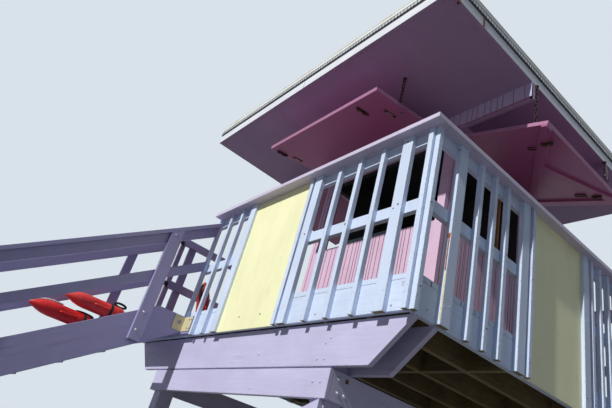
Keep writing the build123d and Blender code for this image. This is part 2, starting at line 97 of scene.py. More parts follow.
class TowerSizes(bpy.types.PropertyGroup):
    """Sizes of what the solids leave to this script."""
    board_edge: length("Board edge", "Rounding of a planed board's edges", 0.003)
    deck_board: length("Deck board", "Width of one deck board", 0.140)
    deck_gap: length("Deck gap", "Gap between two deck boards", 0.005)
    groove_wide: length("Groove width", "Width of a groove in the boarding", 0.009)
    groove_deep: length("Groove depth", "Depth of a groove in the boarding", 0.006)
    link_pitch: length("Link pitch", "Length of one chain link inside its wire", 0.045)
    link_wire: length("Link wire", "Thickness of the chain's wire", 0.0095)


class TowerPaints(bpy.types.PropertyGroup):
    """Colours of the tower's paints."""
    beams: paint("Beams", "Paint on the beams, legs and stair", "C9C6E6")
    railing: paint("Railing", "Paint on the pickets and rails", "D8E7FF")
    panels: paint("Panels", "Paint on the plywood panels of the railing", "FFFFCE")
    boarding: paint("Boarding", "Paint on the hut's boarding", "E0C0DA")
    shutters: paint("Shutters", "Paint on the shutters", "AE5D8D")
    soffit: paint("Soffit", "Paint under the eaves", "B298BE")
    fascia: paint("Fascia", "Paint on the edge of the roof", "EDF1F8")


# Meshes

def at(x, y, z):
    """A place in the frame, given in mm from CORNER."""
    return np.array([x, y, z]) / 1000 + CORNER


def corners(node):
    """Lowest and highest corner of a CAD node, as arrays."""
    low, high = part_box(node)
    return np.array(low), np.array(high)


def unit(vectors):
    """Vectors of length one."""
    vectors = np.asarray(vectors, float)
    return vectors / np.linalg.norm(vectors, axis=-1, keepdims=True)


def wrapped(rings, loop=False):
    """Faces over rings of points, ring by ring: quads between neighbours, and one face on each open end.

    Face (i, j) joins points (i, j), (i, j+1), (i+1, j+1) and (i+1, j), where j runs round and closes.
    """
    count, around = rings.shape[:2]
    i, j = np.meshgrid(np.arange(count if loop else count - 1), np.arange(around), indexing="ij")
    i2, j2 = (i + 1) % count, (j + 1) % around
    quads = np.stack([i * around + j, i * around + j2, i2 * around + j2, i2 * around + j], axis=-1)
    faces = quads.reshape(-1, 4).tolist()
    if not loop:
        faces.append(list(range(around - 1, -1, -1)))
        faces.append(list(range((count - 1) * around, count * around)))
    return faces


def carried(profile, path, side, loop=False):
    """Rings of a profile carried along a path, and each ring's distance along it.

    Point (i, j) = path i + side i times profile j's x + up i times profile j's y, with side square to the
    path and up square to both.
    """
    path = np.asarray(path, float)
    step = np.roll(path, -1, axis=0) - np.roll(path, 1, axis=0) if loop else np.gradient(path, axis=0)
    ahead = unit(step)
    side = np.broadcast_to(side, path.shape)
    side = unit(side - ahead * np.sum(side * ahead, axis=1, keepdims=True))
    up = np.cross(ahead, side)
    rings = path[:, None] + side[:, None] * profile[None, :, :1] + up[:, None] * profile[None, :, 1:]
    far = np.concatenate([[0], np.cumsum(np.linalg.norm(np.diff(path, axis=0), axis=1))])
    return rings, far


def rectangle(wide, deep):
    """Corners of a rectangle round its middle, anticlockwise."""
    return np.array([(-wide, -deep), (wide, -deep), (wide, deep), (-wide, deep)]) / 2


def circle(radius, count):
    """Points of a circle, anticlockwise: (r cos t, r sin t)."""
    turn = np.arange(count) * 2 * np.pi / count
    return np.stack([radius * np.cos(turn), radius * np.sin(turn)], axis=1)


class Piece:
    """Gathers the solids of one piece, with what its materials read at each point."""

    def __init__(self, seed):
        self.random = np.random.default_rng(seed)
        self.points, self.grain, self.half, self.board = [], [], [], []
        self.faces, self.finish, self.smooth = [], [], []
        self.count = 0

    def add(self, points, faces, grain, half, finish=0, smooth=False, board=None):
        """One solid: points, faces, each point's place in the board's own axes, and half the board's size."""
        points = np.asarray(points, float).reshape(-1, 3)
        count = len(points)
        self.points.append(points)
        self.grain.append(np.asarray(grain, float).reshape(-1, 3))
        self.half.append(np.broadcast_to(half, (count, 3)))
        self.board.append(np.full(count, self.random.random() if board is None else board))
        self.faces.extend([[index + self.count for index in face] for face in faces])
        self.finish.extend(finish if isinstance(finish, list) else [finish] * len(faces))
        self.smooth.extend([smooth and len(face) == 4 for face in faces])
        self.count += count

    def carry(self, profile, path, side, finish=0, loop=False):
        """A profile carried along a path, closed at its ends. A round profile is shaded smooth."""
        rings, far = carried(profile, path, side, loop)
        grain = np.empty(rings.shape)
        grain[..., 0] = (far - far[-1] / 2)[:, None]
        grain[..., 1:] = profile - (profile.max(axis=0) + profile.min(axis=0)) / 2
        half = [far[-1] / 2, *np.ptp(profile, axis=0) / 2]
        self.add(rings, wrapped(rings, loop), grain, half, finish, len(profile) > 4)

    def slab(self, low, high, axis, finish=0):
        """A board with its sides along the axes, whose grain runs along one of them."""
        low, high = np.asarray(low, float), np.asarray(high, float)
        middle, size = (low + high) / 2, high - low
        side, up = (axis + 1) % 3, (axis + 2) % 3
        ends = (middle - AXES[axis] * size[axis] / 2, middle + AXES[axis] * size[axis] / 2)
        self.carry(rectangle(size[side], size[up]), ends, AXES[side], finish)

    def turned(self, places, ahead, profile, around, finish=0):
        """Heads turned about an axis: point (i, j) = place + ahead h i + radius i (a cos t j + b sin t j)."""
        ahead = unit(ahead)
        a = unit(np.cross(Z if abs(ahead[2]) < 0.8 else X, ahead))
        b = np.cross(ahead, a)
        radius, high = np.asarray(profile, float).T
        ring = circle(1, around)
        for place in np.atleast_2d(places):
            rings = (place + ahead * high[:, None, None]
                     + radius[:, None, None] * (a * ring[None, :, :1] + b * ring[None, :, 1:]))
            self.add(rings, wrapped(rings), rings - place, [radius.max()] * 2 + [np.ptp(high)], finish, True)

    def make(self, name, finishes, slot, nodes=(), bevel=0.0):
        """The piece's object, from all that was gathered."""
        mesh = bpy.data.meshes.new(name)
        mesh.from_pydata(np.concatenate(self.points).tolist(), [], self.faces)
        values = [np.concatenate(each) for each in (self.grain, self.half, self.board)]
        finished(mesh, name, finishes, nodes, bevel, values, self.finish, self.smooth)


def finished(mesh, name, finishes, nodes, bevel, values, finish, smooth):
    """The object of a mesh, riding on the tower, with its attributes, materials and rounded edges.

    finishes has the short names of its materials, values what they read at each point, and nodes the CAD
    nodes that it stands for.
    """
    kinds = (("grain", "FLOAT_VECTOR", "vector"), ("half", "FLOAT_VECTOR", "vector"),
             ("board", "FLOAT", "value"))
    for (label, kind, field), value in zip(kinds, values):
        read = mesh.attributes.new(label, kind, "POINT")
        read.data.foreach_set(field, value.astype(np.float32).ravel())
    for each in finishes.split():
        mesh.materials.append(FINISH[each])
    mesh.polygons.foreach_set("material_index", np.asarray(finish, np.int32))
    mesh.polygons.foreach_set("use_smooth", np.asarray(smooth, bool))
    mesh.update()
    piece = bpy.data.objects.new(name, mesh)
    bpy.context.scene.collection.objects.link(piece)
    if bevel:
        rounding = piece.modifiers.new("rounded edges", "BEVEL")
        rounding.width = bevel
        rounding.segments = 2
        rounding.limit_method = "ANGLE"
        rounding.angle_limit = math.radians(30)
    if nodes:
        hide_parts(*nodes)
    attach(piece, "root")


def solids_of(node):
    """A CAD node's mesh with its flat faces whole, its points and edges, and each point's solid by number."""
    build = bmesh.new()
    build.from_mesh(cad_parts[node].data)
    bmesh.ops.remove_doubles(build, verts=build.verts, dist=1e-5)
    bmesh.ops.dissolve_limit(build, angle_limit=math.radians(0.5), verts=build.verts, edges=build.edges)
    mesh = bpy.data.meshes.new(node + "_boards")
    build.to_mesh(mesh)
    build.free()
    points = np.empty(len(mesh.vertices) * 3)
    mesh.vertices.foreach_get("co", points)
    edges = np.empty(len(mesh.edges) * 2, np.int32)
    mesh.edges.foreach_get("vertices", edges)
    points, edges = points.reshape(-1, 3), edges.reshape(-1, 2)
    label = np.arange(len(points))
    while True:
        least = label.copy()
        np.minimum.at(least, edges[:, 0], label[edges[:, 1]])
        np.minimum.at(least, edges[:, 1], label[edges[:, 0]])
        if np.array_equal(least, label):
            break
        label = least
    return mesh, points, edges, np.unique(label, return_inverse=True)[1]


def points_of(node):
    """The points of a CAD node's solids, and the number of each point's solid."""
    mesh, points, _, label = solids_of(node)
    bpy.data.meshes.remove(mesh)
    return points, label


def extents(points, label):
    """Lowest and highest value on each axis of every solid's points."""
    low = np.full((label.max() + 1, 3), np.inf)
    high = -low
    np.minimum.at(low, label, points)
    np.maximum.at(high, label, points)
    return low, high


def boxes_of(node):
    """Lowest and highest corner of every solid of a node, sorted by place."""
    low, high = extents(*points_of(node))
    order = np.lexsort(low.T)
    return low[order], high[order]


def board_axes(points, edges, label):
    """Each point's place in its board's own axes, and half its board's size.

    A board's first axis runs along its longest edge, and its second is the world axis most square to that.
    """
    run = points[edges[:, 1]] - points[edges[:, 0]]
    order = np.lexsort((np.linalg.norm(run, axis=1), label[edges[:, 0]]))
    last = np.searchsorted(label[edges[order, 0]], np.arange(label.max() + 1), side="right") - 1
    first = unit(run[order[last]])
    second = AXES[np.argmin(np.abs(first), axis=1)]
    second = unit(second - first * np.sum(first * second, axis=1, keepdims=True))
    axes = np.stack([first, second, np.cross(first, second)], axis=1)
    place = np.einsum("nij,nj->ni", axes[label], points)
    low, high = extents(place, label)
    return place - ((low + high) / 2)[label], ((high - low) / 2)[label]


def timber(node, finishes, edge=None, sides=(), seed=1, name=None):
    """A CAD node's boards with rounded edges. sides gives the material of the faces that look one way."""
    mesh, points, edges, label = solids_of(node)
    grain, half = board_axes(points, edges, label)
    board = np.random.default_rng(seed).random(label.max() + 1)[label]
    normals = np.empty(len(mesh.polygons) * 3)
    mesh.polygons.foreach_get("normal", normals)
    normals = normals.reshape(-1, 3)
    finish = np.zeros(len(normals), int)
    for way, index in sides:
        finish[normals @ way > 0.9] = index
    edge = bpy.context.scene.tower_sizes.board_edge if edge is None else edge
    finished(mesh, name or node + "_painted", finishes, [node], edge, (grain, half, board), finish,
             np.zeros(len(normals), bool))


# Materials

def new_material(name):
    """An empty material and its tree."""
    material = bpy.data.materials.new(name)
    material.use_nodes = True
    material.node_tree.nodes.clear()
    return material, material.node_tree


def add(tree, kind, inputs=None, **settings):
    """A node with its settings, whose inputs are given values, hex colours or links to sockets."""
    made = tree.nodes.new(kind)
    for name, value in settings.items():
        setattr(made, name, value)
    for name, value in (inputs or {}).items():
        if isinstance(value, bpy.types.NodeSocket):
            tree.links.new(value, made.inputs[name])
        else:
            made.inputs[name].default_value = linear(value) if isinstance(value, str) else value
    return made


def math_of(tree, operation, *values, clamp=False):
    """The result of one arithmetic step."""
    made = add(tree, "ShaderNodeMath", dict(enumerate(values)), operation=operation, use_clamp=clamp)
    return made.outputs[0]


def vector_of(tree, operation, *values):
    """The result of one step on vectors."""
    return add(tree, "ShaderNodeVectorMath", dict(enumerate(values)), operation=operation).outputs[0]


def times(tree, first, second):
    """One value times another."""
    return math_of(tree, "MULTIPLY", first, second)


def total(tree, *values, clamp=False):
    """The sum of some values, clamped at the last step where that is asked for."""
    result = values[0]
    for count, value in enumerate(values[1:], 2):
        result = math_of(tree, "ADD", result, value, clamp=clamp and count == len(values))
    return result


def attribute(tree, name, output="Vector"):
    """What the mesh says at each point."""
    return add(tree, "ShaderNodeAttribute", attribute_name=name).outputs[output]


def own_number(tree):
    """Each board's random number."""
    return attribute(tree, "board", "Fac")


def object_place(tree):
    """The object's own coordinates."""
    return add(tree, "ShaderNodeTexCoord").outputs["Object"]


def board_place(tree):
    """Each board's own coordinates, moved by an amount of its own."""
    board = own_number(tree)
    shifts = {axis: times(tree, board, far) for axis, far in enumerate((31.7, 17.3, 9.1))}
    away = add(tree, "ShaderNodeCombineXYZ", shifts).outputs[0]
    return vector_of(tree, "ADD", attribute(tree, "grain"), away)


def edge_distance(tree):
    """Distance to the nearest edge of a board: the second least of half its size less the place, per axis."""
    left = vector_of(tree, "SUBTRACT", attribute(tree, "half"),
                     vector_of(tree, "ABSOLUTE", attribute(tree, "grain")))
    a, b, c = add(tree, "ShaderNodeSeparateXYZ", {0: left}).outputs
    least, most = math_of(tree, "MINIMUM", a, b), math_of(tree, "MAXIMUM", a, b)
    return math_of(tree, "MAXIMUM", least, math_of(tree, "MINIMUM", most, c))


def noise(tree, place, scale, detail=3.0, rough=0.55):
    """Noise between 0 and 1, scaled the same on all axes or on each."""
    scale = scale if isinstance(scale, tuple) else (scale,) * 3
    return add(tree, "ShaderNodeTexNoise", {"Vector": vector_of(tree, "MULTIPLY", place, scale), "Scale": 1.0,
                                            "Detail": detail, "Roughness": rough}).outputs["Fac"]


def ramp(tree, value, low, high, out_low=0.0, out_high=1.0):
    """A value taken from one range to another, held at its ends."""
    return add(tree, "ShaderNodeMapRange", {0: value, 1: low, 2: high, 3: out_low, 4: out_high}).outputs[0]


def spread(tree, value, low=0.0, high=1.0):
    """Noise taken from the range where nearly all of it lies to another."""
    return ramp(tree, value, 0.3, 0.7, low, high)


def blend(tree, factor, first, second):
    """Two colours mixed."""
    return add(tree, "ShaderNodeMix", {0: factor, 6: first, 7: second}, data_type="RGBA").outputs[2]


def shaded(tree, color, level):
    """A colour with its value times a level."""
    color = color if isinstance(color, str) else tuple(color)
    return add(tree, "ShaderNodeHueSaturation", {"Color": color, "Value": level}).outputs[0]


def surface(tree, color, rough, height=None, distance=0.001, strength=1.0, **fixed):
    """The shader, its bump and the material's output. fixed holds values that are the same all over."""
    inputs = {"Base Color": color, "Roughness": rough}
    if height is not None:
        bump = add(tree, "ShaderNodeBump", {"Height": height, "Distance": distance, "Strength": strength})
        inputs["Normal"] = bump.outputs[0]
    shader = add(tree, "ShaderNodeBsdfPrincipled", inputs)
    for name, value in fixed.items():
        shader.inputs[name.replace("_", " ")].default_value = value
    add(tree, "ShaderNodeOutputMaterial", {"Surface": shader.outputs[0]})


def painted_timber(tree, color, stain, dirt):
    """Brushed paint on softwood: soft streaks along the grain, chalky patches, chips and grime at the edges.

    Brush marks are 6 to 12 mm apart and a chip is 4 to 10 mm across.
    """
    place = board_place(tree)
    brush = noise(tree, place, (5, 110, 110))
    cloud = noise(tree, place, (3, 5, 5), 4.0, 0.6)
    streak = noise(tree, place, (1.6, 30, 30), 3.0, 0.6)
    speck = noise(tree, place, (60, 110, 110), 2.0)
    level = total(tree, spread(tree, cloud, 0.90, 1.03), spread(tree, brush, -0.03, 0.03),
                  ramp(tree, own_number(tree), 0, 1, -0.035, 0.035))
    tone = shaded(tree, color, level)
    grime = times(tree, ramp(tree, streak, 0.56, 0.76, 0, dirt), ramp(tree, cloud, 0.42, 0.62))
    tone = blend(tree, times(tree, grime, 0.55), tone, stain)
    near = ramp(tree, edge_distance(tree), 0.0015, 0.012, 1, 0)
    chips = times(tree, near, ramp(tree, speck, 0.56, 0.62))
    tone = blend(tree, times(tree, chips, 0.6 * dirt), tone, stain)
    crack = ramp(tree, streak, 0.30, 0.36, 1, 0)
    height = math_of(tree, "SUBTRACT", total(tree, brush, times(tree, streak, 1.2)),
                     total(tree, times(tree, crack, 0.35), chips))
    surface(tree, tone, spread(tree, cloud, 0.45, 0.60), height, 0.0007)


def bare_timber(tree, light, dark):
    """Bare weathered softwood: swaying grain 3 to 8 mm apart, drying cracks, damp patches and pale edges."""
    place = board_place(tree)
    bend = times(tree, noise(tree, place, (2.5, 9, 9), 2.0), 0.05)
    swayed = vector_of(tree, "ADD", place, add(tree, "ShaderNodeCombineXYZ", {1: bend, 2: bend}).outputs[0])
    rings = noise(tree, swayed, (1.5, 150, 150), 3.0, 0.6)
    damp = noise(tree, place, (3, 6, 6), 4.0, 0.6)
    crack = ramp(tree, noise(tree, swayed, (1.1, 60, 60), 2.0), 0.30, 0.34, 1, 0)
    level = total(tree, spread(tree, rings), ramp(tree, own_number(tree), 0, 1, -0.25, 0.25),
                  ramp(tree, damp, 0.35, 0.65, -0.35, 0.25), clamp=True)
    tone = blend(tree, level, dark, light)
    tone = blend(tree, times(tree, crack, 0.7), tone, "241D14")
    tone = blend(tree, ramp(tree, edge_distance(tree), 0.002, 0.014, 0.35, 0), tone, "A8946A")
    surface(tree, tone, 0.8, math_of(tree, "SUBTRACT", rings, crack), 0.0012)


def painted_plywood(tree, color, stain, blotch, sheen=0.5):
    """Rolled paint on plywood: a fine orange peel, faint uneven coats, water stains and a few dark spots."""
    place = board_place(tree)
    peel = noise(tree, place, 300, 2.0)
    coat = noise(tree, place, (1.3, 2.6, 2.6), 4.0, 0.6)
    water = noise(tree, place, (4.5, 6, 6), 5.0, 0.65)
    veneer = noise(tree, place, (1.5, 45, 45))
    level = total(tree, spread(tree, coat, 0.92, 1.05), spread(tree, veneer, -0.015, 0.015),
                  ramp(tree, own_number(tree), 0, 1, -0.02, 0.02))
    tone = blend(tree, ramp(tree, water, 0.62, 0.8, 0, 0.35 * blotch), shaded(tree, color, level), stain)
    spots = ramp(tree, noise(tree, place, 26, 2.0), 0.735, 0.76, 0, 0.5 * blotch)
    tone = blend(tree, spots, tone, stain)
    surface(tree, tone, sheen, total(tree, times(tree, peel, 0.4), veneer), 0.0005)


def sawn_boarding(tree, color):
    """Paint on rough-sawn siding: raised upright fibres 4 to 8 mm apart, and paler paint at their crests,
    both worn paint and a painted highlight of grazing light.
    """
    place = board_place(tree)
    fibre = noise(tree, place, (7, 160, 160), 3.0, 0.6)
    cloud = noise(tree, place, (2.5, 4, 4), 4.0, 0.6)
    flow = noise(tree, place, (1.2, 26, 26))
    tone = shaded(tree, color, total(tree, spread(tree, cloud, 0.92, 1.04), spread(tree, fibre, -0.05, 0.05)))
    tone = blend(tree, ramp(tree, flow, 0.58, 0.75, 0, 0.3), tone, "B08FA8")
    # paler crests: worn paint, and a painted highlight of grazing light
    worn_and_lit_crests = times(tree, ramp(tree, fibre, 0.62, 0.72), ramp(tree, cloud, 0.5, 0.68))
    tone = blend(tree, times(tree, worn_and_lit_crests, 0.5), tone, "F3E4EE")
    surface(tree, tone, 0.6, total(tree, fibre, flow), 0.0014)


def coated_sheet(tree, color, patches="C9A24A"):
    """Old elastomeric coating: chalky, with rolled-on ripples, and tinted in stretches about 0.4 m long."""
    place = object_place(tree)
    ripple = noise(tree, place, 40)
    aged = noise(tree, place, 2.3, 4.0, 0.65)
    tone = shaded(tree, color, spread(tree, ripple, 0.92, 1.04))
    tone = blend(tree, ramp(tree, aged, 0.54, 0.66, 0, 0.75), tone, patches)
    surface(tree, tone, 0.7, ripple, 0.0015)


def drip_strip(tree):
    """Galvanised drip strip, grey and matt, with a dark dot every 38 mm along its run for its holes: painted
    shade.
    """
    place = object_place(tree)
    x, y, _ = add(tree, "ShaderNodeSeparateXYZ", {0: place}).outputs
    run = times(tree, total(tree, x, y), 1 / 0.038)
    # dark dots that stand for the holes: painted shade
    hole_shade = ramp(tree, math_of(tree, "PINGPONG", run, 0.5), 0.14, 0.2, 1, 0)
    tone = blend(tree, spread(tree, noise(tree, place, 18)), "B4B9BE", "D2D6D9")
    surface(tree, blend(tree, hole_shade, tone, "6A7076"), 0.55, hole_shade, 0.001, 0.6, Metallic=0.3)


def rusty_steel(tree, dark="3A2418", light="8A4B22", flakes=0.7):
    """Rusted wire and plate, quite matt: darker and lighter stretches about 20 mm long, and orange flakes."""
    place = board_place(tree)
    scale = noise(tree, place, 160, 4.0, 0.65)
    tone = blend(tree, ramp(tree, noise(tree, place, 45), 0.4, 0.65), dark, light)
    tone = blend(tree, ramp(tree, scale, 0.55, 0.75, 0, flakes), tone, "B8622A")
    surface(tree, tone, 0.75, scale, 0.0008, Metallic=0.2)


def plain_metal(tree, color, rough, metallic, spot="8A5A34", rust=0.4):
    """Galvanised or enamelled steel: faintly mottled, with rust starting in spots 3 to 8 mm across."""
    place = board_place(tree)
    mottle = noise(tree, place, 60)
    spots = ramp(tree, noise(tree, place, 90, 3.0, 0.65), 0.62, 0.72, 0, rust)
    tone = blend(tree, spots, shaded(tree, color, spread(tree, mottle, 0.88, 1.06)), spot)
    surface(tree, tone, rough, mottle, 0.0003, Metallic=metallic)


def moulded_plastic(tree, color, rough, scuff):
    """Rotomoulded polyethylene: smooth with a soft gloss, fine pebbling and scattered paler scuffs."""
    place = board_place(tree)
    pebble = noise(tree, place, 220, 2.0)
    scuffs = noise(tree, place, (30, 90, 30), 4.0, 0.7)
    tone = shaded(tree, color, spread(tree, noise(tree, place, 5), 0.88, 1.06))
    tone = blend(tree, ramp(tree, scuffs, 0.62, 0.74, 0, 0.4 * scuff), tone, "E9B0A0")
    surface(tree, tone, ramp(tree, scuffs, 0.45, 0.7, rough, rough + 0.25), pebble, 0.0003, Coat_Weight=0.15)


def woven_webbing(tree, color, pitch=0.004):
    """Woven nylon webbing or laid rope, matt, with soft ribs 2 pi times the pitch apart."""
    wave = {"Vector": attribute(tree, "grain"), "Scale": 1 / (pitch * 20), "Distortion": 1.0, "Detail": 1.0}
    rib = add(tree, "ShaderNodeTexWave", wave, bands_direction="X").outputs["Fac"]
    fuzz = noise(tree, board_place(tree), 200, 2.0)
    level = total(tree, ramp(tree, rib, 0, 1, 0.75, 1.0), spread(tree, fuzz, -0.08, 0.08))
    surface(tree, shaded(tree, color, level), 0.8, rib, 0.0006)


def room_shade_paint(tree, color="0E0D10", dusty="1A181D"):
    """Near-black matt paint that stands in for shade, so that the room's inside reads as black from outside,
    with dusty patches.
    """
    dust = noise(tree, board_place(tree), (4, 9, 9), 4.0)
    surface(tree, blend(tree, ramp(tree, dust, 0.4, 0.7), color, dusty), 0.85, dust, 0.0005)


def make_finishes():
    """Makes the finishes from rows of a short name, a maker, the material's name and the maker's values."""
    paints = bpy.context.scene.tower_paints
    for short, maker, name, *values in (
            ("beam", painted_timber, "Brushed lavender paint on softwood", paints.beams, "5F5A60", 0.5),
            ("cap", painted_timber, "Brushed lavender paint on rail caps", "D6CDE6", "6F6868", 0.6),
            ("rail", painted_timber, "Brushed pale blue paint on softwood", paints.railing, "6D6A58", 0.6),
            ("fascia", painted_timber, "Brushed white paint on softwood", paints.fascia, "6F6A60", 0.5),
            ("panel", painted_plywood, "Rolled yellow paint on plywood", paints.panels, "9A8A5A", 0.6),
            ("boarding", sawn_boarding, "Pink paint on rough-sawn siding", paints.boarding),
            ("lilac", sawn_boarding, "Lilac paint on rough-sawn siding", "CDBCDE"),
            ("shutter", painted_plywood, "Rolled deep pink paint on plywood", paints.shutters, "4A2A3C", 1.0,
             0.42),
            # a lighter copy of the shutters' pink: painted highlight on their edges, and the bands' trim
            ("shutter_edge", painted_timber, "Brushed pink paint on sawn edges", "B87CA2", "7A4A66", 0.5),
            ("soffit", painted_plywood, "Rolled mauve paint on plywood", paints.soffit, "5A4250", 0.9, 0.6),
            ("bare", bare_timber, "Bare weathered softwood", "7A6843", "4A3D26"),
            ("end", bare_timber, "Sawn end grain", "8A7F55", "5A5236"),
            ("raw", bare_timber, "Bare orange-brown stud", "A9713A", "7C4A22"),
            # near-black paint that stands in for the shade inside the room
            ("dark", room_shade_paint, "Dark matt paint inside the room"),
            ("teal", painted_timber, "Dark teal paint on a low rail", "4A5C64", "2A3236", 0.4),
            ("cover", coated_sheet, "Chalky white coating on the roof", "E6E9E4"),
            ("bead", coated_sheet, "Chalky coating on the roof's bead", "EDF0EE", "DCDCCB"),
            # a darker copy of the beams' lavender: painted shade on the stair and the left rails
            ("stair", painted_timber, "Brushed violet paint on the stair's timber", "A29EC8", "4F4B58", 0.5),
            ("run", painted_timber, "Pale yellow run of rust water", "E9DFA8", "B98A3C", 1.0),
            ("drip", drip_strip, "Pierced galvanised drip strip"),
            # near-black paint that stands in for the shade in the roof's gaps, and for the fascia's joint
            ("tarred", room_shade_paint, "Tarred paper in the roof's shadow gap", "101014"),
            ("rust", rusty_steel, "Rusted steel"),
            ("orange", rusty_steel, "Fresh orange rust", "7A3D14", "C46F22"),
            ("dark_iron", rusty_steel, "Blackened iron", "1C1512", "4A2E1E"),
            ("galvanised", plain_metal, "Galvanised steel", "AEB3B8", 0.45, 0.8),
            ("enamel", plain_metal, "Cream enamel on steel", "DCD3AE", 0.35, 0.0, "9A4A22", 0.5),
            ("red", moulded_plastic, "Moulded red polyethylene", "DC0C0A", 0.45, 0.3),
            ("faded", moulded_plastic, "Moulded red polyethylene faded by the sun", "E63A34", 0.5, 1.0),
            # a darker copy of the cans' red: painted shade on the third can
            ("deep_red", moulded_plastic, "Moulded dark red polyethylene", "B00A08", 0.5, 0.3),
            # darker pink on the grooves' faces: painted shade in the recesses
            ("groove", painted_timber, "Grime in the grooves of the boarding", "A484A0", "4A3446", 0.6),
            ("chain", rusty_steel, "Rusted black chain", "15100E", "40261A", 0.18),
            ("old_zinc", plain_metal, "Dull grey-green zinc plate", "84897C", 0.6, 0.3),
            ("bead_top", coated_sheet, "Yellowed coating on the bead's top", "E8E9DE", "CF9E2C"),
            ("black_grip", moulded_plastic, "Moulded black grip", "15151A", 0.45, 0.2),
            ("webbing", woven_webbing, "Woven black nylon webbing", "141418"),
            ("rope", woven_webbing, "Laid white polyester rope", "EEEEEA", 0.006)):
        FINISH[short], tree = new_material(name)
        maker(tree, *values)


# Pieces

def screws(piece, places, ahead, radius=0.0065, high=0.0018, finish=0):
    """Low domed heads of radius r and height h: rings of r, 0.8 r at 0.6 h and 0.25 r at h."""
    piece.turned(places, ahead, [(radius, 0), (radius * 0.8, high * 0.6), (radius * 0.25, high)], 8, finish)


def bolt_heads(piece, places, finish=0):
    """Carriage bolt heads that look along X: a washer and a dome."""
    radius = 0.009
    profile = [(radius * 1.5, 0), (radius * 1.5, 0.0025), (radius, 0.003), (radius * 0.8, 0.008),
               (radius * 0.3, 0.0105)]
    piece.turned(places, X, profile, 12, finish)


class TOWER_OT_underframe(bpy.types.Operator):
    """Makes the runners, legs, beams and braces"""
    bl_idname = "tower.underframe"
    bl_label = "Legs and beams"

    def execute(self, context):
        timber("ground_skids", "bare", 0.006, seed=11, name="runners")
        timber("legs", "beam", 0.005, seed=12)
        for seed, node in enumerate(("upper_beams", "lower_beams", "cross_beams"), 13):
            timber(node, "beam", seed=seed)
        timber("diagonal_braces", "beam", seed=16, name="braces_painted")
        self.bolts()
        return {"FINISHED"}

    def bolts(self):
        """Painted-over plugs on the beams and the rims, bolts and a rusty plate on the cross beam's side."""
        piece = Piece(17)
        plugs = [at(x, 76, z) for x, z in (
            (-698, 1741), (-735, 1708), (-721, 1800), (-1471, 1654), (-787, 1605), (-718, 1604), (-777, 1462),
            (-707, 1463), (-1459, 1409))]
        plugs += [at(x, 38, z) for x, z in ((-873, 1901), (-189, 1893))]
        plugs += [at(-3700 - x, 76, z) for x, z in ((-698, 1741), (-735, 1708), (-787, 1605), (-718, 1604))]
        screws(piece, plugs, -Y, 0.010, 0.005)
        screws(piece, [at(-38, 172, 1904)], X, 0.009, 0.004)
        for x, z in ((-320, 1946), (-117, 2022)):
            piece.slab(at(x - 15, 36.5, z - 15), at(x + 15, 40, z + 15), 0)
        bolt_heads(piece, [at(-635, y, z) for y, z in ((156, 1505), (168, 1424), (224, 1422))], 1)
        piece.slab(at(-636, 214, 1497), at(-633, 240, 1523), 2, 2)
        rear = corners("upper_beams")[1][1]
        places = [((a[0] + b[0]) / 2 + dx, rear, z) for a, b in zip(*boxes_of("legs")) if a[1] > 1
                  for dx, z in ((-0.035, 1.77), (0.035, 1.64))]
        screws(piece, places, Y, 0.010, 0.005)
        piece.make("beam_bolts", "beam galvanised rust", "beam_paint", bevel=0.001)


class TOWER_OT_deck(bpy.types.Operator):
    """Makes the deck's joists, rims and boards"""
    bl_idname = "tower.deck"
    bl_label = "Deck"

    def execute(self, context):
        timber("joists", "bare", seed=21, name="joists_bare")
        timber("joist_blocking", "bare", seed=22, name="blocking_bare")
        painted = [(way, 1) for way in (X, -X, -Y, Y, -Z)]
        timber("side_rims", "bare rail", sides=painted, seed=23)
        timber("end_rims", "bare rail", sides=painted, seed=24)
        self.boards()
        return {"FINISHED"}

    def boards(self):
        """Boards across the deck with an even gap, painted on their ends and on the deck's two long edges."""
        sizes = bpy.context.scene.tower_sizes
        low, high = corners("deck_boards")
        deep = high[1] - low[1]
        count = round((deep + sizes.deck_gap) / (sizes.deck_board + sizes.deck_gap))
        pitch = (deep + sizes.deck_gap) / count
        piece = Piece(25)
        for number in range(count):
            near = low[1] + number * pitch
            far = near + pitch - sizes.deck_gap
            middle = (near + far) / 2, (low[2] + high[2]) / 2
            # the faces are under, far, top and near, and then the two ends
            finish = [0, int(number == count - 1), 0, int(number == 0), 1, 1]
            piece.carry(rectangle(far - near, high[2] - low[2]), [(low[0], *middle), (high[0], *middle)], Y,
                        finish)
        piece.make("deck_planks", "bare rail", "bare_timber", ["deck_boards"], 0.003)


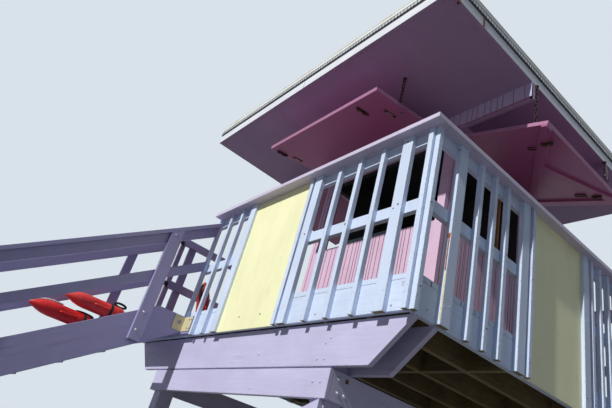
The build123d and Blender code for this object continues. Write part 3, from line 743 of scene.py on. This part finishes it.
class TOWER_OT_stair(bpy.types.Operator):
    """Makes the stair with its rails, bolts and angle bracket"""
    bl_idname = "tower.stair"
    bl_label = "Stair"

    def execute(self, context):
        # the stair's timber takes a darker lavender than the beams, a painted shade
        for seed, node in enumerate(("near_stringer", "far_stringer", "stair_treads", "stair_ledger",
                                     "stair_rail_cap", "stair_top_rails", "stair_mid_rails",
                                     "stair_posts"), 31):
            timber(node, "stair", seed=seed)
        self.bracket()
        self.bolts()
        return {"FINISHED"}

    def bracket(self):
        """Bent plate with a round hole, whose ring is joined to the plate's outline by straight lines."""
        low, high = corners("stair_bracket")
        thick, hole_radius = 0.006, 0.02
        middle = np.array([low[0] + thick / 2, (low[1] + high[1]) / 2, (low[2] + high[2]) / 2])
        ring = circle(1, 32)
        reach = (high - low)[1:] / 2
        outer = ring / np.max(np.abs(ring), axis=1, keepdims=True) * reach
        inner = ring * hole_radius + (at(0, -51, 1960) - middle)[1:]
        rings = np.stack([np.column_stack([np.full(32, middle[0] + depth * thick / 2), middle[1:] + flat])
                          for depth, flat in ((-1, inner), (-1, outer), (1, outer), (1, inner))])
        piece = Piece(41)
        piece.add(rings, wrapped(rings, loop=True), rings - middle, [thick / 2, *reach])
        piece.slab((low[0] + thick, high[1] - thick, low[2]), high, 0)
        screws(piece, [at(-2800, -67, 2006)], X, 0.008, 0.004, 1)
        plate = [at(x, -6, z) for x, z in ((-2691, 1992), (-2655, 1991), (-2697, 1908), (-2655, 1905))]
        screws(piece, plate, -Y, 0.009, 0.003, 2)
        piece.make("angle_bracket", "enamel galvanised rust", "bracket_enamel", ["stair_bracket"], 0.001)

    def bolts(self):
        """Two bolts at the foot of each post on the right, and one at its top rail."""
        low, high = boxes_of("stair_posts")
        middle_x = (low[:, 0].min() + high[:, 0].max()) / 2
        feet, rails = [], []
        for a, b in zip(low, high):
            if a[0] > middle_x:
                x, y = b[0], (a[1] + b[1]) / 2
                feet += [(x, y - 0.017, a[2] + 0.09), (x, y - 0.012, a[2] + 0.26)]
                rails.append((x, y - 0.01, b[2] - 0.09))
        piece = Piece(42)
        bolt_heads(piece, feet)
        bolt_heads(piece, rails, 1)
        piece.make("stair_bolts", "galvanised stair", "beam_paint")


class TOWER_OT_railing(bpy.types.Operator):
    """Makes the railing with its panels, screws and rust"""
    bl_idname = "tower.railing"
    bl_label = "Railing"

    def execute(self, context):
        for seed, side in enumerate(("front", "right", "rear"), 51):
            timber(side + "_pickets", "rail end", 0.0025, [(-Z, 1)], seed)
            timber(side + "_rails", "rail", seed=seed + 10)
            timber(side + "_cap", "cap", seed=seed + 20)
        timber("railing_panels", "panel", 0.0015, seed=54, name="panels_painted")
        # the left posts and rails take the darker stair lavender, a painted shade
        timber("left_posts", "stair", seed=55)
        timber("left_rails", "stair", seed=56)
        self.screws()
        self.pole()
        return {"FINISHED"}

    def screws(self):
        """Screws where the pickets cross the rails and the rim, most of them painted over."""
        piece = Piece(57)
        below, rusty_share, wide_picket = 0.045, 0.14, 0.06
        heights = [corners("front_rails")[1][2] - below, boxes_of("front_rails")[1][0][2] - below,
                   corners("deck_boards")[1][2] - 0.12]
        for side, axis, way in (("front", 1, -1), ("right", 0, 1), ("rear", 1, 1)):
            low, high = boxes_of(side + "_pickets")
            along = 1 - axis
            wide = high[:, along] - low[:, along] > wide_picket
            places = []
            for z in heights:
                for offset in (-0.022, 0.022):
                    place = np.empty((len(low), 3))
                    place[:, axis] = (low if way < 0 else high)[:, axis]
                    place[:, along] = (low + high)[:, along] / 2 + np.where(wide, offset, offset * 0.3)
                    place[:, 2] = z + np.where(wide, offset * 0.4, offset)
                    places.append(place[low[:, 2] < z - 0.02])
            places = np.concatenate(places)
            rusted = piece.random.random(len(places)) < rusty_share
            screws(piece, places[~rusted], AXES[axis] * way, 0.0062, 0.0012, 0)
            screws(piece, places[rusted], AXES[axis] * way, 0.0065, 0.0016, 1)
        dots = [at(x, 0, z) for x, z in ((-247, 2579), (-738, 2552), (-1209, 2579), (-264, 3098))]
        dots += [at(x, 26, z) for x, z in ((-1851, 1959), (-1545, 1957))]
        screws(piece, dots, -Y, 0.008, 0.003, 1)
        screws(piece, [at(0, 223, 3071)], X, 0.008, 0.003, 1)
        piece.make("railing_screws", "rail rust", "railing_paint")

    def pole(self):
        """A round white pole strapped to the ends of the left rails, and rust on a wide right picket."""
        piece = Piece(58)
        piece.carry(circle(0.0135, 16), [at(-3739, 5, 2095), at(-3739, 5, 3110)], X)
        for low, high in ((3030, 3079), (2497, 2552)):
            piece.carry(circle(0.0165, 16), [at(-3739, 5, low), at(-3739, 5, high)], X, 1)
            piece.slab(at(-3796, -5, low), at(-3745, 0, high), 0, 1)
            piece.slab(at(-3753, -5, low), at(-3747, 48, high), 1, 1)
        piece.slab(at(-24, 248.5, 2408), at(-3, 251, 2442), 2, 2)
        piece.slab(at(-16, 249.2, 2186), at(-6, 250.6, 2409), 2, 2)
        piece.slab(at(-12, 249.2, 1872), at(-2, 250.4, 2185), 2, 3)
        piece.make("corner_pole", "fascia webbing orange run", "railing_paint", bevel=0.001)


def grooved(size, grooves, thick, wide, deep):
    """Outline of a board seen from above: a face with a notch at each groove inside it, and a flat back."""
    margin, slant = 0.008, 0.001
    points = [(0.0, 0.0)]
    for along in grooves[(grooves > margin) & (grooves < size - margin)]:
        points += [(along - wide / 2, 0.0), (along - wide / 2 + slant, deep),
                   (along + wide / 2 - slant, deep), (along + wide / 2, 0.0)]
    return np.array(points + [(size, 0.0), (size, thick), (0.0, thick)])


def upright(piece, start, ahead, inward, outline, low, high, finish, groove):
    """A grooved outline, in plan, carried up from one height to another, with its own finish in the grooves,
    where a darker paint is painted shade.

    A point stands at start + ahead times the outline's x + inward times its y.
    """
    deepest_groove = 0.015
    if np.cross(ahead, inward)[2] < 0:
        outline = outline[::-1]
    flat = np.asarray(start, float) + ahead * outline[:, :1] + inward * outline[:, 1:]
    rings = np.stack([flat * (1, 1, 0) + Z * low, flat * (1, 1, 0) + Z * high])
    grain = np.empty(rings.shape)
    grain[0, :, 0], grain[1, :, 0] = low, high
    grain[..., 1:] = outline
    depth = np.maximum(outline[:, 1], np.roll(outline[:, 1], -1))
    # faces in a groove take the groove finish, a darker paint that is painted shade
    kinds = [groove if 0 < each < deepest_groove else finish for each in depth.tolist()] + [finish, finish]
    piece.add(rings, wrapped(rings), grain, BROAD, kinds, board=0.3)


class TOWER_OT_hut(bpy.types.Operator):
    """Makes the hut's boarded walls, and its sashes and lining in near-black paint as painted shade"""
    bl_idname = "tower.hut"
    bl_label = "Hut"

    def execute(self, context):
        # grooves from each wall's near or left end, m
        wide = (np.array([-2750, -2708, -2633, -2492, -2409, -2342, -2136, -2062, -2008, -1967, -1926, -1816,
                          -1767, -1731, -1675, -1613, -1490, -1365, -1327, -1270, -1195, -1102, -1050, -975])
                + 2800) / 1000
        deep = (np.array([1253, 1340, 1432, 1522, 1559, 1581, 1626, 1700, 1770, 1847, 1898, 1985, 2076, 2164,
                          2240, 2321, 2364, 2407, 2482, 2560]) - 1200) / 1000
        self.boarded("hut_front_wall", X, Y, (1, 1), wide)
        self.boarded("hut_right_wall", Y, -X, (1, 1), deep)
        self.boarded("hut_left_wall", Y, X, (1, 1), deep)
        self.boarded("hut_rear_wall", X, -Y, (1, 0), wide)
        self.linings()
        # the sashes take the near-black paint as painted shade
        timber("window_sashes", "dark", 0.002, seed=66, name="sliding_sashes")
        return {"FINISHED"}

    def boarded(self, node, ahead, inward, hole, grooves):
        """Grooved boarding on a wall's outside, and on its inside a lining in near-black paint that is
        painted shade, round the opening.

        The opening's edges part the wall into columns and levels, and hole has its column and level. A column
        under 0.1 m wide has the boarding's paint on the inside too.
        """
        sizes = bpy.context.scene.tower_sizes
        skin, narrow = 0.03, 0.1
        low, high = corners(node)
        points = points_of(node)[0]
        axis = int(np.argmax(ahead))
        across = 1 - axis
        lines = np.unique(points[:, axis].round(4))
        levels = np.unique(points[:, 2].round(4))
        start = low.copy()
        if inward[across] < 0:
            start[across] = high[across]
        rest = high[across] - low[across] - skin
        piece = Piece(60)
        for index, (a, b) in enumerate(zip(lines[:-1], lines[1:])):
            parts = [(levels[0], levels[-1])]
            if index == hole[0]:
                parts = [(levels[k], levels[k + 1]) for k in range(len(levels) - 1) if k != hole[1]]
            # the lining takes the near-black paint, a painted shade, except in narrow columns
            inside = 0 if b - a < narrow and index != hole[0] else 1
            for bottom, top in parts:
                for depth, thick, finish, cut in ((0, skin, 0, grooves - (a - low[axis])),
                                                  (skin, rest, inside, np.array([]))):
                    begin = start + ahead * (a - low[axis]) + inward * depth
                    outline = grooved(b - a, cut, thick, sizes.groove_wide, sizes.groove_deep)
                    upright(piece, begin, ahead, inward, outline, bottom, top, finish, 2)
        piece.make(node + "_boarding", "boarding dark groove", "siding_paint", [node])

    def linings(self):
        """The ceiling's boards in near-black paint as painted shade, the low rail and stud in the windows,
        and deep pink boards by the left window, darker than the boarding as painted shade.
        """
        front = corners("hut_front_wall")[1][1]
        right = corners("hut_right_wall")[0][0]
        rear = corners("hut_rear_wall")[0][1]
        ceiling = corners("hut_right_wall")[1][2]
        left_low, left_high = (corner[0] for corner in corners("hut_left_wall"))
        piece = Piece(61)
        edges = np.linspace(left_high, right, 11)
        # the ceiling's boards take the near-black paint as painted shade
        for a, b in zip(edges[:-1], edges[1:]):
            piece.slab((a + 0.001, front, ceiling - 0.012), (b - 0.001, rear, ceiling - 0.0005), 1, 0)
        sill, head = np.unique(points_of("hut_front_wall")[0][:, 2].round(4))[1:3]
        piece.slab(at(-2245, 1238, sill * 1000), at(-1628, 1262, 3380), 0, 1)
        piece.slab(at(-985, 2122, sill * 1000), at(-942, 2146, head * 1000), 2, 2)
        y_window = np.unique(points_of("hut_left_wall")[0][:, 1].round(4))[1]
        # deep pink boards for the inside of the left wall by the window: darker than the boarding as painted
        # shade
        piece.slab((left_high, front, sill), (left_high + 0.012, y_window, head), 2, 3)
        piece.slab((left_low + 0.01, y_window - 0.0005, sill), (left_high, y_window + 0.012, head), 2, 3)
        piece.make("room_linings", "dark teal raw shutter", "siding_paint", bevel=0.001)


class TOWER_OT_roof(bpy.types.Operator):
    """Makes the boarded bands, the soffit, fascia and cover of the roof"""
    bl_idname = "tower.roof"
    bl_label = "Roof"

    def execute(self, context):
        self.bands()
        self.soffit()
        for seed, node in enumerate(("roof_fascia_ends", "roof_fascia_sides"), 71):
            timber(node, "fascia soffit", 0.003, [(-Z, 1)], seed)
        # the roof's core shows only in the gap under the cover, and is painted near-black as painted shade
        timber("roof_core", "tarred", 0.001, seed=73, name="roof_framing")
        timber("band_backings", "soffit", 0.002, seed=74)
        self.cover()
        self.joints()
        return {"FINISHED"}

    def bands(self):
        """Boards of the bands with their grooves, a trim along the bottom and a narrow board on each end."""
        piece = Piece(75)
        groove_wide = bpy.context.scene.tower_sizes.groove_wide * 0.8
        right = np.array([-839, -751, -692, -635, -552, -484, -418, -358, -251, -139, -79])
        over_hut = np.arange(-2750, -900, 102)
        places = np.sort(np.concatenate([right, over_hut, -3818 - right])) / 1000 + CORNER[0]
        for a, b in zip(*boxes_of("header_bands")):
            y, inward = (a[1], Y) if a[1] < 1.0 else (b[1], -Y)
            outline = grooved(b[0] - a[0], places - a[0], b[1] - a[1], groove_wide, 0.006)
            upright(piece, (a[0], y, 0), X, inward, outline, a[2], b[2], 0, 1)
            near, far = sorted((y - inward[1] * 0.003, y + inward[1] * 0.004))
            piece.slab((a[0], near, a[2]), (b[0], far, a[2] + 0.018), 0, 2)
            for x, way in ((a[0], -1), (b[0], 1)):
                if x < at(-3700, 0, 0)[0] or x > at(-100, 0, 0)[0]:
                    x0, x1 = sorted((x, x - way * 0.022))
                    piece.slab((x0, min(a[1], near), a[2]), (x1, max(b[1], far), b[2]), 2, 3)
        piece.make("eaves_bands", "lilac groove shutter_edge beam", "siding_paint", ["header_bands"])

    def soffit(self):
        """Plywood sheets under the eaves, 1.22 by 2.44 m, with a fine joint between them, and their nails."""
        piece = Piece(76)
        low, high = corners("roof_soffit")
        joint, least, nail_inset = 0.0004, 0.2, 0.02
        x_lines, y_lines = (np.concatenate([np.arange(low[axis], high[axis] - least, size), [high[axis]]])
                            for axis, size in ((0, 1.22), (1, 2.44)))
        for x0, x1 in zip(x_lines[:-1], x_lines[1:]):
            for y0, y1 in zip(y_lines[:-1], y_lines[1:]):
                piece.slab((x0 + joint, y0 + joint, low[2]), (x1 - joint, y1 - joint, high[2]), 1)
        piece.slab((low[0], low[1], high[2] - 0.002), high, 1, 1)
        places = [(x + (nail_inset if x < high[0] - 0.01 else -nail_inset), y, low[2])
                  for x in x_lines for y in np.arange(low[1] + 0.1, high[1], 0.305)]
        screws(piece, places, -Z, 0.004, 0.001, 2)
        piece.make("soffit_sheets", "soffit dark rust", "soffit_paint", ["roof_soffit"])

    def cover(self):
        """The cover: an edge profile taken round the roof, mitred at its corners, and closed over the top.

        Ring j is the roof's outline moved out by the profile's x at the profile's height. Low laps cross
        the top.
        """
        low, high = corners("roof_cover")
        tall = high[2] - low[2]
        edge = [(-0.05, -0.055), (-0.009, -0.053), (-0.009, -0.028), (-0.002, -0.028), (-0.002, 0.002),
                (-0.009, 0.003), (-0.009, 0.012), (-0.003, 0.014), (-0.001, 0.020), (-0.001, 0.052),
                (-0.003, 0.056), (0.0, 0.059), (0.0, 0.066), (-0.006, 0.071), (-0.018, tall), (-0.25, tall)]
        # the recessed bands of the edge take the near-black paint, a painted shade
        finish = [2, 2, 1, 1, 2, 2, 0, 0, 0, 0, 4, 4, 4, 3, 3]
        rings = []
        for out, rise in edge:
            x0, x1, y0, y1 = low[0] - out, high[0] + out, low[1] - out, high[1] + out
            z = low[2] + rise
            rings.append([(x0, y0, z), (x1, y0, z), (x1, y1, z), (x0, y1, z)])
        rings = np.array(rings)
        piece = Piece(77)
        piece.add(rings, wrapped(rings), rings, BROAD, [each for each in finish for _ in range(4)] + [2, 3])
        for y in np.arange(low[1] + 0.5, high[1] - 0.4, 0.92):
            piece.slab((low[0] + 0.26, y, high[2] - 0.001), (high[0] - 0.26, y + 0.09, high[2]), 0, 3)
        piece.make("cover_sheet", "bead drip tarred cover bead_top", "roof_sheet", ["roof_cover"])

    def joints(self):
        """The butt joint in the front fascia, and two rusty straps that hang over the right fascia."""
        piece = Piece(78)
        piece.slab(at(-1970.5, -36, 4540), at(-1968, -34, 4641), 2)
        piece.slab(at(-69, 402, 4545), at(-64, 421, 4657), 2, 1)
        piece.slab(at(-90, 78, 4514), at(-64, 93, 4547), 2, 1)
        piece.make("fascia_straps", "tarred rust", "fascia_paint", bevel=0.0006)


class TOWER_OT_shutters(bpy.types.Operator):
    """Makes the shutters with their hardware, and the chains"""
    bl_idname = "tower.shutters"
    bl_label = "Shutters and chains"

    def execute(self, context):
        # the shutters' edges take a lighter pink than their faces, a painted highlight
        sides = [(way, 1) for way in (-Y, X, -X, Y)]
        for seed, node in enumerate(("front_shutter", "right_shutter", "left_shutter"), 81):
            timber(node, "shutter shutter_edge", 0.003, sides, seed)
        timber("shutter_braces", "shutter", 0.002, seed=84, name="shutter_battens")
        self.hardware()
        self.chains()
        return {"FINISHED"}

    def plane(self, node, outward, along):
        """The underside of a shutter: its hinge corner, the way down its fall and the way it looks."""
        points = points_of(node)[0]
        tip = points[np.argsort(points @ Z)[:2]]
        hinge = points[np.argsort(points @ outward)[:4]]
        root = hinge[np.argsort(hinge @ Z)[:2]]
        corner = root[np.argmin(root @ along)]
        out = unit(tip[np.argmin(tip @ along)] - corner)
        under = unit(np.cross(out, along))
        return corner, out, -under if under[2] > 0 else under

    def hardware(self):
        """Barrel bolts, hasps and open brackets on the shutters' undersides, each along the fall.

        A fitting lies between two places of the board's plane, corner + run a + out b, given as x and y.
        """
        piece = Piece(85)
        batten = 0.0195
        kinds = (self.bolt, self.hasp, self.bracket)
        layout = (
            ("front_shutter", -Y, X, ((-1285, 225, -1285, 386, 0), (-1112, 424, -1112, 581, 1),
                                      (-2579, 230, -2579, 370, 0), (-2545, 430, -2545, 560, 1),
                                      (-1019, 558, -1019, 578, 1))),
            ("right_shutter", X, Y, ((-16, 1478, -129, 1478, 0), (-216, 1545, -295, 1545, 2),
                                     (-37, 2430, -127, 2430, 0), (-182, 2430, -296, 2430, 2))),
            ("left_shutter", -X, Y, ((-3680, 1478, -3570, 1478, 0), (-3680, 2430, -3570, 2430, 0))))
        for node, outward, run, fittings in layout:
            corner, out, under = self.plane(node, outward, run)
            for *places, kind in fittings:
                lift = under * (batten if kind == 0 and node == "right_shutter" else 0)
                ends = []
                for x, y in (places[:2], places[2:]):
                    away = at(x, y, 0) - corner
                    ends.append(corner + run * (away @ run) + out * (away @ outward) / (out @ outward) + lift)
                kinds[kind](piece, *ends, run, under)
        piece.make("shutter_bolts", "dark_iron old_zinc", "chain_steel", bevel=0.0008)

    def bolt(self, piece, first, last, run, under):
        """Barrel bolt: a plate, a rod held by two straps, and a knob."""
        piece.carry(rectangle(0.036, 0.004), [first + under * 0.002, last + under * 0.002], run)
        piece.carry(circle(0.007, 8), [first + under * 0.012, last + under * 0.012], under)
        ahead = unit(last - first)
        for share in (0.2, 0.75):
            middle = first + (last - first) * share + under * 0.011
            piece.carry(rectangle(0.028, 0.020), [middle - ahead * 0.014, middle + ahead * 0.014], run)
        piece.turned((first + last) / 2 + under * 0.015, under,
                     [(0.005, 0), (0.005, 0.012), (0.008, 0.016), (0.002, 0.022)], 8)

    def hasp(self, piece, first, last, run, under):
        """Hasp: a dark strap with a paler plate over its middle."""
        piece.carry(rectangle(0.030, 0.004), [first + under * 0.002, last + under * 0.002], run)
        inner = [first + (last - first) * share + under * 0.006 for share in (0.25, 0.75)]
        piece.carry(rectangle(0.022, 0.004), inner, run, 1)

    def bracket(self, piece, first, last, run, under):
        """Open bracket of bent wire: two legs and the half circle that joins them."""
        turn = np.linspace(-np.pi / 2, np.pi / 2, 7)
        ahead, bend = unit(last - first), 0.018
        bow = last - ahead * bend + ahead * bend * np.cos(turn)[:, None] + run * bend * np.sin(turn)[:, None]
        path = np.concatenate([[first - run * bend], bow, [first + run * bend]]) + under * 0.008
        piece.carry(circle(0.006, 6), path, under)

    def chains(self):
        """Welded chain: each link is a wire carried round a stadium, and every second one turns a quarter.

        Each link also leans a little at random, and a chain hangs from a plate and ends on another.
        """
        sizes = bpy.context.scene.tower_sizes
        piece = Piece(86)
        wire, pitch = sizes.link_wire, sizes.link_pitch
        bend, sway = 0.0135, 0.12
        turn = np.linspace(0, 2 * np.pi, 13)[:-1]
        straight = np.sign(np.sin(turn)) * ((pitch + wire) / 2 - bend)
        loop = np.stack([bend * np.cos(turn), bend * np.sin(turn) + straight], axis=1)
        for number, (a, b) in enumerate(zip(*boxes_of("shutter_chains"))):
            x, y = (a[0] + b[0]) / 2, (a[1] + b[1]) / 2
            count = round((b[2] - a[2]) / pitch)
            step = (b[2] - a[2]) / count
            for k in range(count):
                angle = (k % 2) * np.pi / 2 + piece.random.normal(0, sway) + number
                side = np.array([np.cos(angle), np.sin(angle), 0])
                path = np.array([x, y, a[2] + step * (k + 0.5)]) + side * loop[:, :1] + Z * loop[:, 1:]
                piece.carry(circle(wire / 2, 6), path, np.cross(side, Z), loop=True)
            piece.turned((x, y, b[2]), -Z, [(0.02, 0), (0.02, 0.003), (0.006, 0.004), (0.005, 0.012)], 12, 1)
            piece.turned((x, y, a[2] - 0.001), Z,
                         [(0.018, 0), (0.018, 0.004), (0.006, 0.006), (0.005, 0.012)], 12, 1)
        piece.make("link_chains", "chain dark_iron", "chain_steel", ["shutter_chains"])


class TOWER_OT_cans(bpy.types.Operator):
    """Makes the rescue cans with their grips, straps and lines"""
    bl_idname = "tower.cans"
    bl_label = "Rescue cans"

    def execute(self, context):
        points, label = points_of("rescue_cans")
        shells, straps = Piece(91), Piece(92)
        for number in range(label.max() + 1):
            self.can(shells, straps, points[label == number], number)
        shells.make("can_shells", "red black_grip faded deep_red", "float_shell", ["rescue_cans"])
        straps.make("can_straps", "webbing rope", "float_shell")
        return {"FINISHED"}

    def can(self, shells, straps, points, number):
        """A shell turned about its own line, pinched at its side grips.

        Radius = R(t) (1 - pinch), with R from a blunt tail through a barrel to a rounded point, and the pinch
        two bell curves round the grips.
        """
        middle = points.mean(axis=0)
        direction = np.linalg.svd(points - middle)[2][0]
        place = (points - middle) @ direction
        width = np.linalg.norm(points - middle - np.outer(place, direction), axis=1)
        near_end = 0.01
        if width[place > place.max() - near_end].max() > width[place < place.min() + near_end].max():
            direction, place = -direction, -place
        long, radius = np.ptp(place), width.max()
        tail = middle + direction * place.min()
        inward = unit(X - direction * (X @ direction))
        top = np.cross(direction, inward)
        if top[2] < 0:
            top = -top
        grip_at, grip_half, pinch_deep = 0.42, 0.13, 0.16
        t = np.linspace(0, 1, 40) ** 0.9
        shape = np.interp(t, *CAN_SHAPE)
        around = np.arange(28) * 2 * np.pi / 28
        pinch = pinch_deep * np.exp(-((t[:, None] - grip_at) / grip_half) ** 4) * np.cos(around)[None] ** 8
        reach = radius * shape[:, None] * (1 - pinch)
        # the third can takes the darker red, a painted shade
        shade = (0, 2, 3)[number]
        far = (t * long)[:, None]
        rings = (tail + direction * far[..., None] + (reach * np.cos(around))[..., None] * inward
                 + (reach * CAN_FLAT * np.sin(around))[..., None] * top)
        grain = np.stack(np.broadcast_arrays(far, reach * np.cos(around), reach * np.sin(around)), -1)
        faces = wrapped(rings)
        if np.cross(inward, top) @ direction <= 0:
            faces = [face[::-1] for face in faces]
        shells.add(rings, faces, grain, BROAD, shade, True)
        bow = np.linspace(-1, 1, 13)
        for way in (-1, 1):
            off = way * radius * (0.86 + 0.15 * np.sqrt(np.clip(1 - bow ** 4, 0, 1)))
            path = tail + direction * (long * (grip_at + grip_half * bow))[:, None] + inward * off[:, None]
            shells.carry(circle(0.011, 8), path, top, shade)
        bow = np.linspace(0, np.pi, 13)
        path = (tail + direction * (0.01 - 0.05 * np.sin(bow))[:, None]
                + inward * (0.042 * np.cos(bow))[:, None])
        shells.carry(circle(0.009, 8), path, top, 1)
        band_at = tail + direction * long * (0.27 if number == 1 else 0.17)
        self.straps(straps, band_at, inward, top, radius, number)

    def straps(self, straps, middle, inward, top, radius, number):
        """A webbing band round each shell, and the cords.

        The first two cans have a loop of webbing, the first a white line too, and the third a black cord.
        """
        turn = np.linspace(0, 2 * np.pi, 29)[:-1]
        girth = radius * 1.02
        path = (middle + inward * (girth * np.cos(turn))[:, None]
                + top * (girth * CAN_FLAT * np.sin(turn))[:, None])
        straps.carry(rectangle(0.004, 0.026), path, middle - path, loop=True)
        if number == 0:
            path = [at(-3664, y, z) for y, z in ((-1190, 1786), (-1156, 1819), (-1110, 1845), (-1059, 1862),
                                                 (-992, 1870), (-899, 1867))]
            straps.carry(circle(0.009, 8), path, X, 1)
        if number == 2:
            path = [at(-3612, y, z) for y, z in ((404, 2665), (394, 2618), (400, 2570), (411, 2525),
                                                 (435, 2485), (470, 2450))]
            straps.carry(circle(0.017, 8), path, X)
        else:
            y, z = (((-765, -579), (1839, 1870)), ((-432, -310), (2059, 2098)))[number]
            bow = np.linspace(0, 2 * np.pi, 25)[:-1]
            path = [at(-3675, np.mean(y) - np.ptp(y) / 2 * c, np.mean(z) + np.ptp(z) / 2 * s)
                    for c, s in zip(np.cos(bow), np.sin(bow))]
            straps.carry(rectangle(0.010, 0.022), path, X, loop=True)


class TOWER_OT_stage(bpy.types.Operator):
    """Makes the floor, the lamp, the background and the camera"""
    bl_idname = "tower.stage"
    bl_label = "Stage"

    def execute(self, context):
        self.floor()
        self.light()
        self.camera()
        return {"FINISHED"}

    def seen(self, tree):
        """One for the rays that show a thing to the camera, and nought for those that light other things."""
        path = add(tree, "ShaderNodeLightPath").outputs
        shown = math_of(tree, "MAXIMUM", path["Is Camera Ray"], path["Is Glossy Ray"])
        return math_of(tree, "MAXIMUM", shown, path["Is Transmission Ray"])

    def floor(self):
        """A pale disc, darker to the rays that light other things, so that little light comes up from it."""
        material, tree = new_material("Pale plaster floor")
        shade = blend(tree, noise(tree, object_place(tree), 3, 4.0), "D5DADF", "DDE2E6")
        surface(tree, blend(tree, self.seen(tree), "6A6864", shade), 0.9)
        mesh = bpy.data.meshes.new("floor")
        mesh.from_pydata([(x, y, 0.0) for x, y in circle(60, 96).tolist()], [], [list(range(96))])
        mesh.materials.append(material)
        disc = bpy.data.objects.new("floor", mesh)
        bpy.context.scene.collection.objects.link(disc)

    def light(self):
        """One hard sun from the front, high and a little to the right, and an even cool fill."""
        lamp = bpy.data.lights.new("key", "SUN")
        lamp.energy = SUN_STRENGTH
        lamp.angle = math.radians(1)
        lamp.color = SUN_TINT
        key = bpy.data.objects.new("key", lamp)
        bpy.context.scene.collection.objects.link(key)
        key.rotation_mode = "QUATERNION"
        key.rotation_quaternion = Vector(SUN_WAY).to_track_quat("-Z", "Y")
        world = bpy.data.worlds.new("studio")
        bpy.context.scene.world = world
        world.use_nodes = True
        tree = world.node_tree
        tree.nodes.clear()
        fill, pale = (add(tree, "ShaderNodeBackground", {"Color": color, "Strength": 1.0}).outputs[0]
                      for color in (FILL, "D9E2EA"))
        both = add(tree, "ShaderNodeMixShader", {0: self.seen(tree), 1: fill, 2: pale})
        add(tree, "ShaderNodeOutputWorld", {"Surface": both.outputs[0]})

    def camera(self):
        """The photograph's view: a place, a heading from +Y towards -X, a pitch up and a roll."""
        heading, pitch, roll = (math.radians(value) for value in CAMERA_TURNS)
        forward = Vector((-math.sin(heading) * math.cos(pitch), math.cos(heading) * math.cos(pitch),
                          math.sin(pitch)))
        level = Vector((math.cos(heading), math.sin(heading), 0))
        right = level * math.cos(roll) + level.cross(forward) * math.sin(roll)
        up = right.cross(forward)
        lens = bpy.data.cameras.new("camera")
        lens.lens, lens.sensor_width = CAMERA_LENS, 36.0
        lens.clip_start, lens.clip_end = 0.05, 300
        camera = bpy.data.objects.new("camera", lens)
        bpy.context.scene.collection.objects.link(camera)
        camera.matrix_world = (Matrix.Translation(Vector(CAMERA_PLACE))
                               @ Matrix((right, up, -forward)).transposed().to_4x4())
        bpy.context.scene.camera = camera
        bpy.context.scene.view_settings.view_transform = "Standard"


OPERATORS = (TOWER_OT_underframe, TOWER_OT_deck, TOWER_OT_stair, TOWER_OT_railing, TOWER_OT_hut,
             TOWER_OT_roof, TOWER_OT_shutters, TOWER_OT_cans, TOWER_OT_stage)


class TOWER_PT_panel(bpy.types.Panel):
    """Lists the tower's pieces, sizes and paints"""
    bl_label = "Lifeguard tower"
    bl_idname = "TOWER_PT_panel"
    bl_space_type = "VIEW_3D"
    bl_region_type = "UI"
    bl_category = "Tower"

    def draw(self, context):
        for group in (context.scene.tower_sizes, context.scene.tower_paints):
            for name in group.__annotations__:
                self.layout.prop(group, name)
        for operator in OPERATORS:
            self.layout.operator(operator.bl_idname)


CLASSES = (TowerSizes, TowerPaints, *OPERATORS, TOWER_PT_panel)


def register():
    """Registers the classes and the two groups of properties."""
    for each in CLASSES:
        bpy.utils.register_class(each)
    bpy.types.Scene.tower_sizes = bpy.props.PointerProperty(type=TowerSizes)
    bpy.types.Scene.tower_paints = bpy.props.PointerProperty(type=TowerPaints)


def unregister():
    """Takes the properties and classes away again."""
    del bpy.types.Scene.tower_paints
    del bpy.types.Scene.tower_sizes
    for each in reversed(CLASSES):
        bpy.utils.unregister_class(each)


def main():
    """Builds every piece in order."""
    register()
    make_finishes()
    bpy.ops.tower.underframe()
    bpy.ops.tower.deck()
    bpy.ops.tower.stair()
    bpy.ops.tower.railing()
    bpy.ops.tower.hut()
    bpy.ops.tower.roof()
    bpy.ops.tower.shutters()
    bpy.ops.tower.cans()
    bpy.ops.tower.stage()


if __name__ == "__main__":
    main()
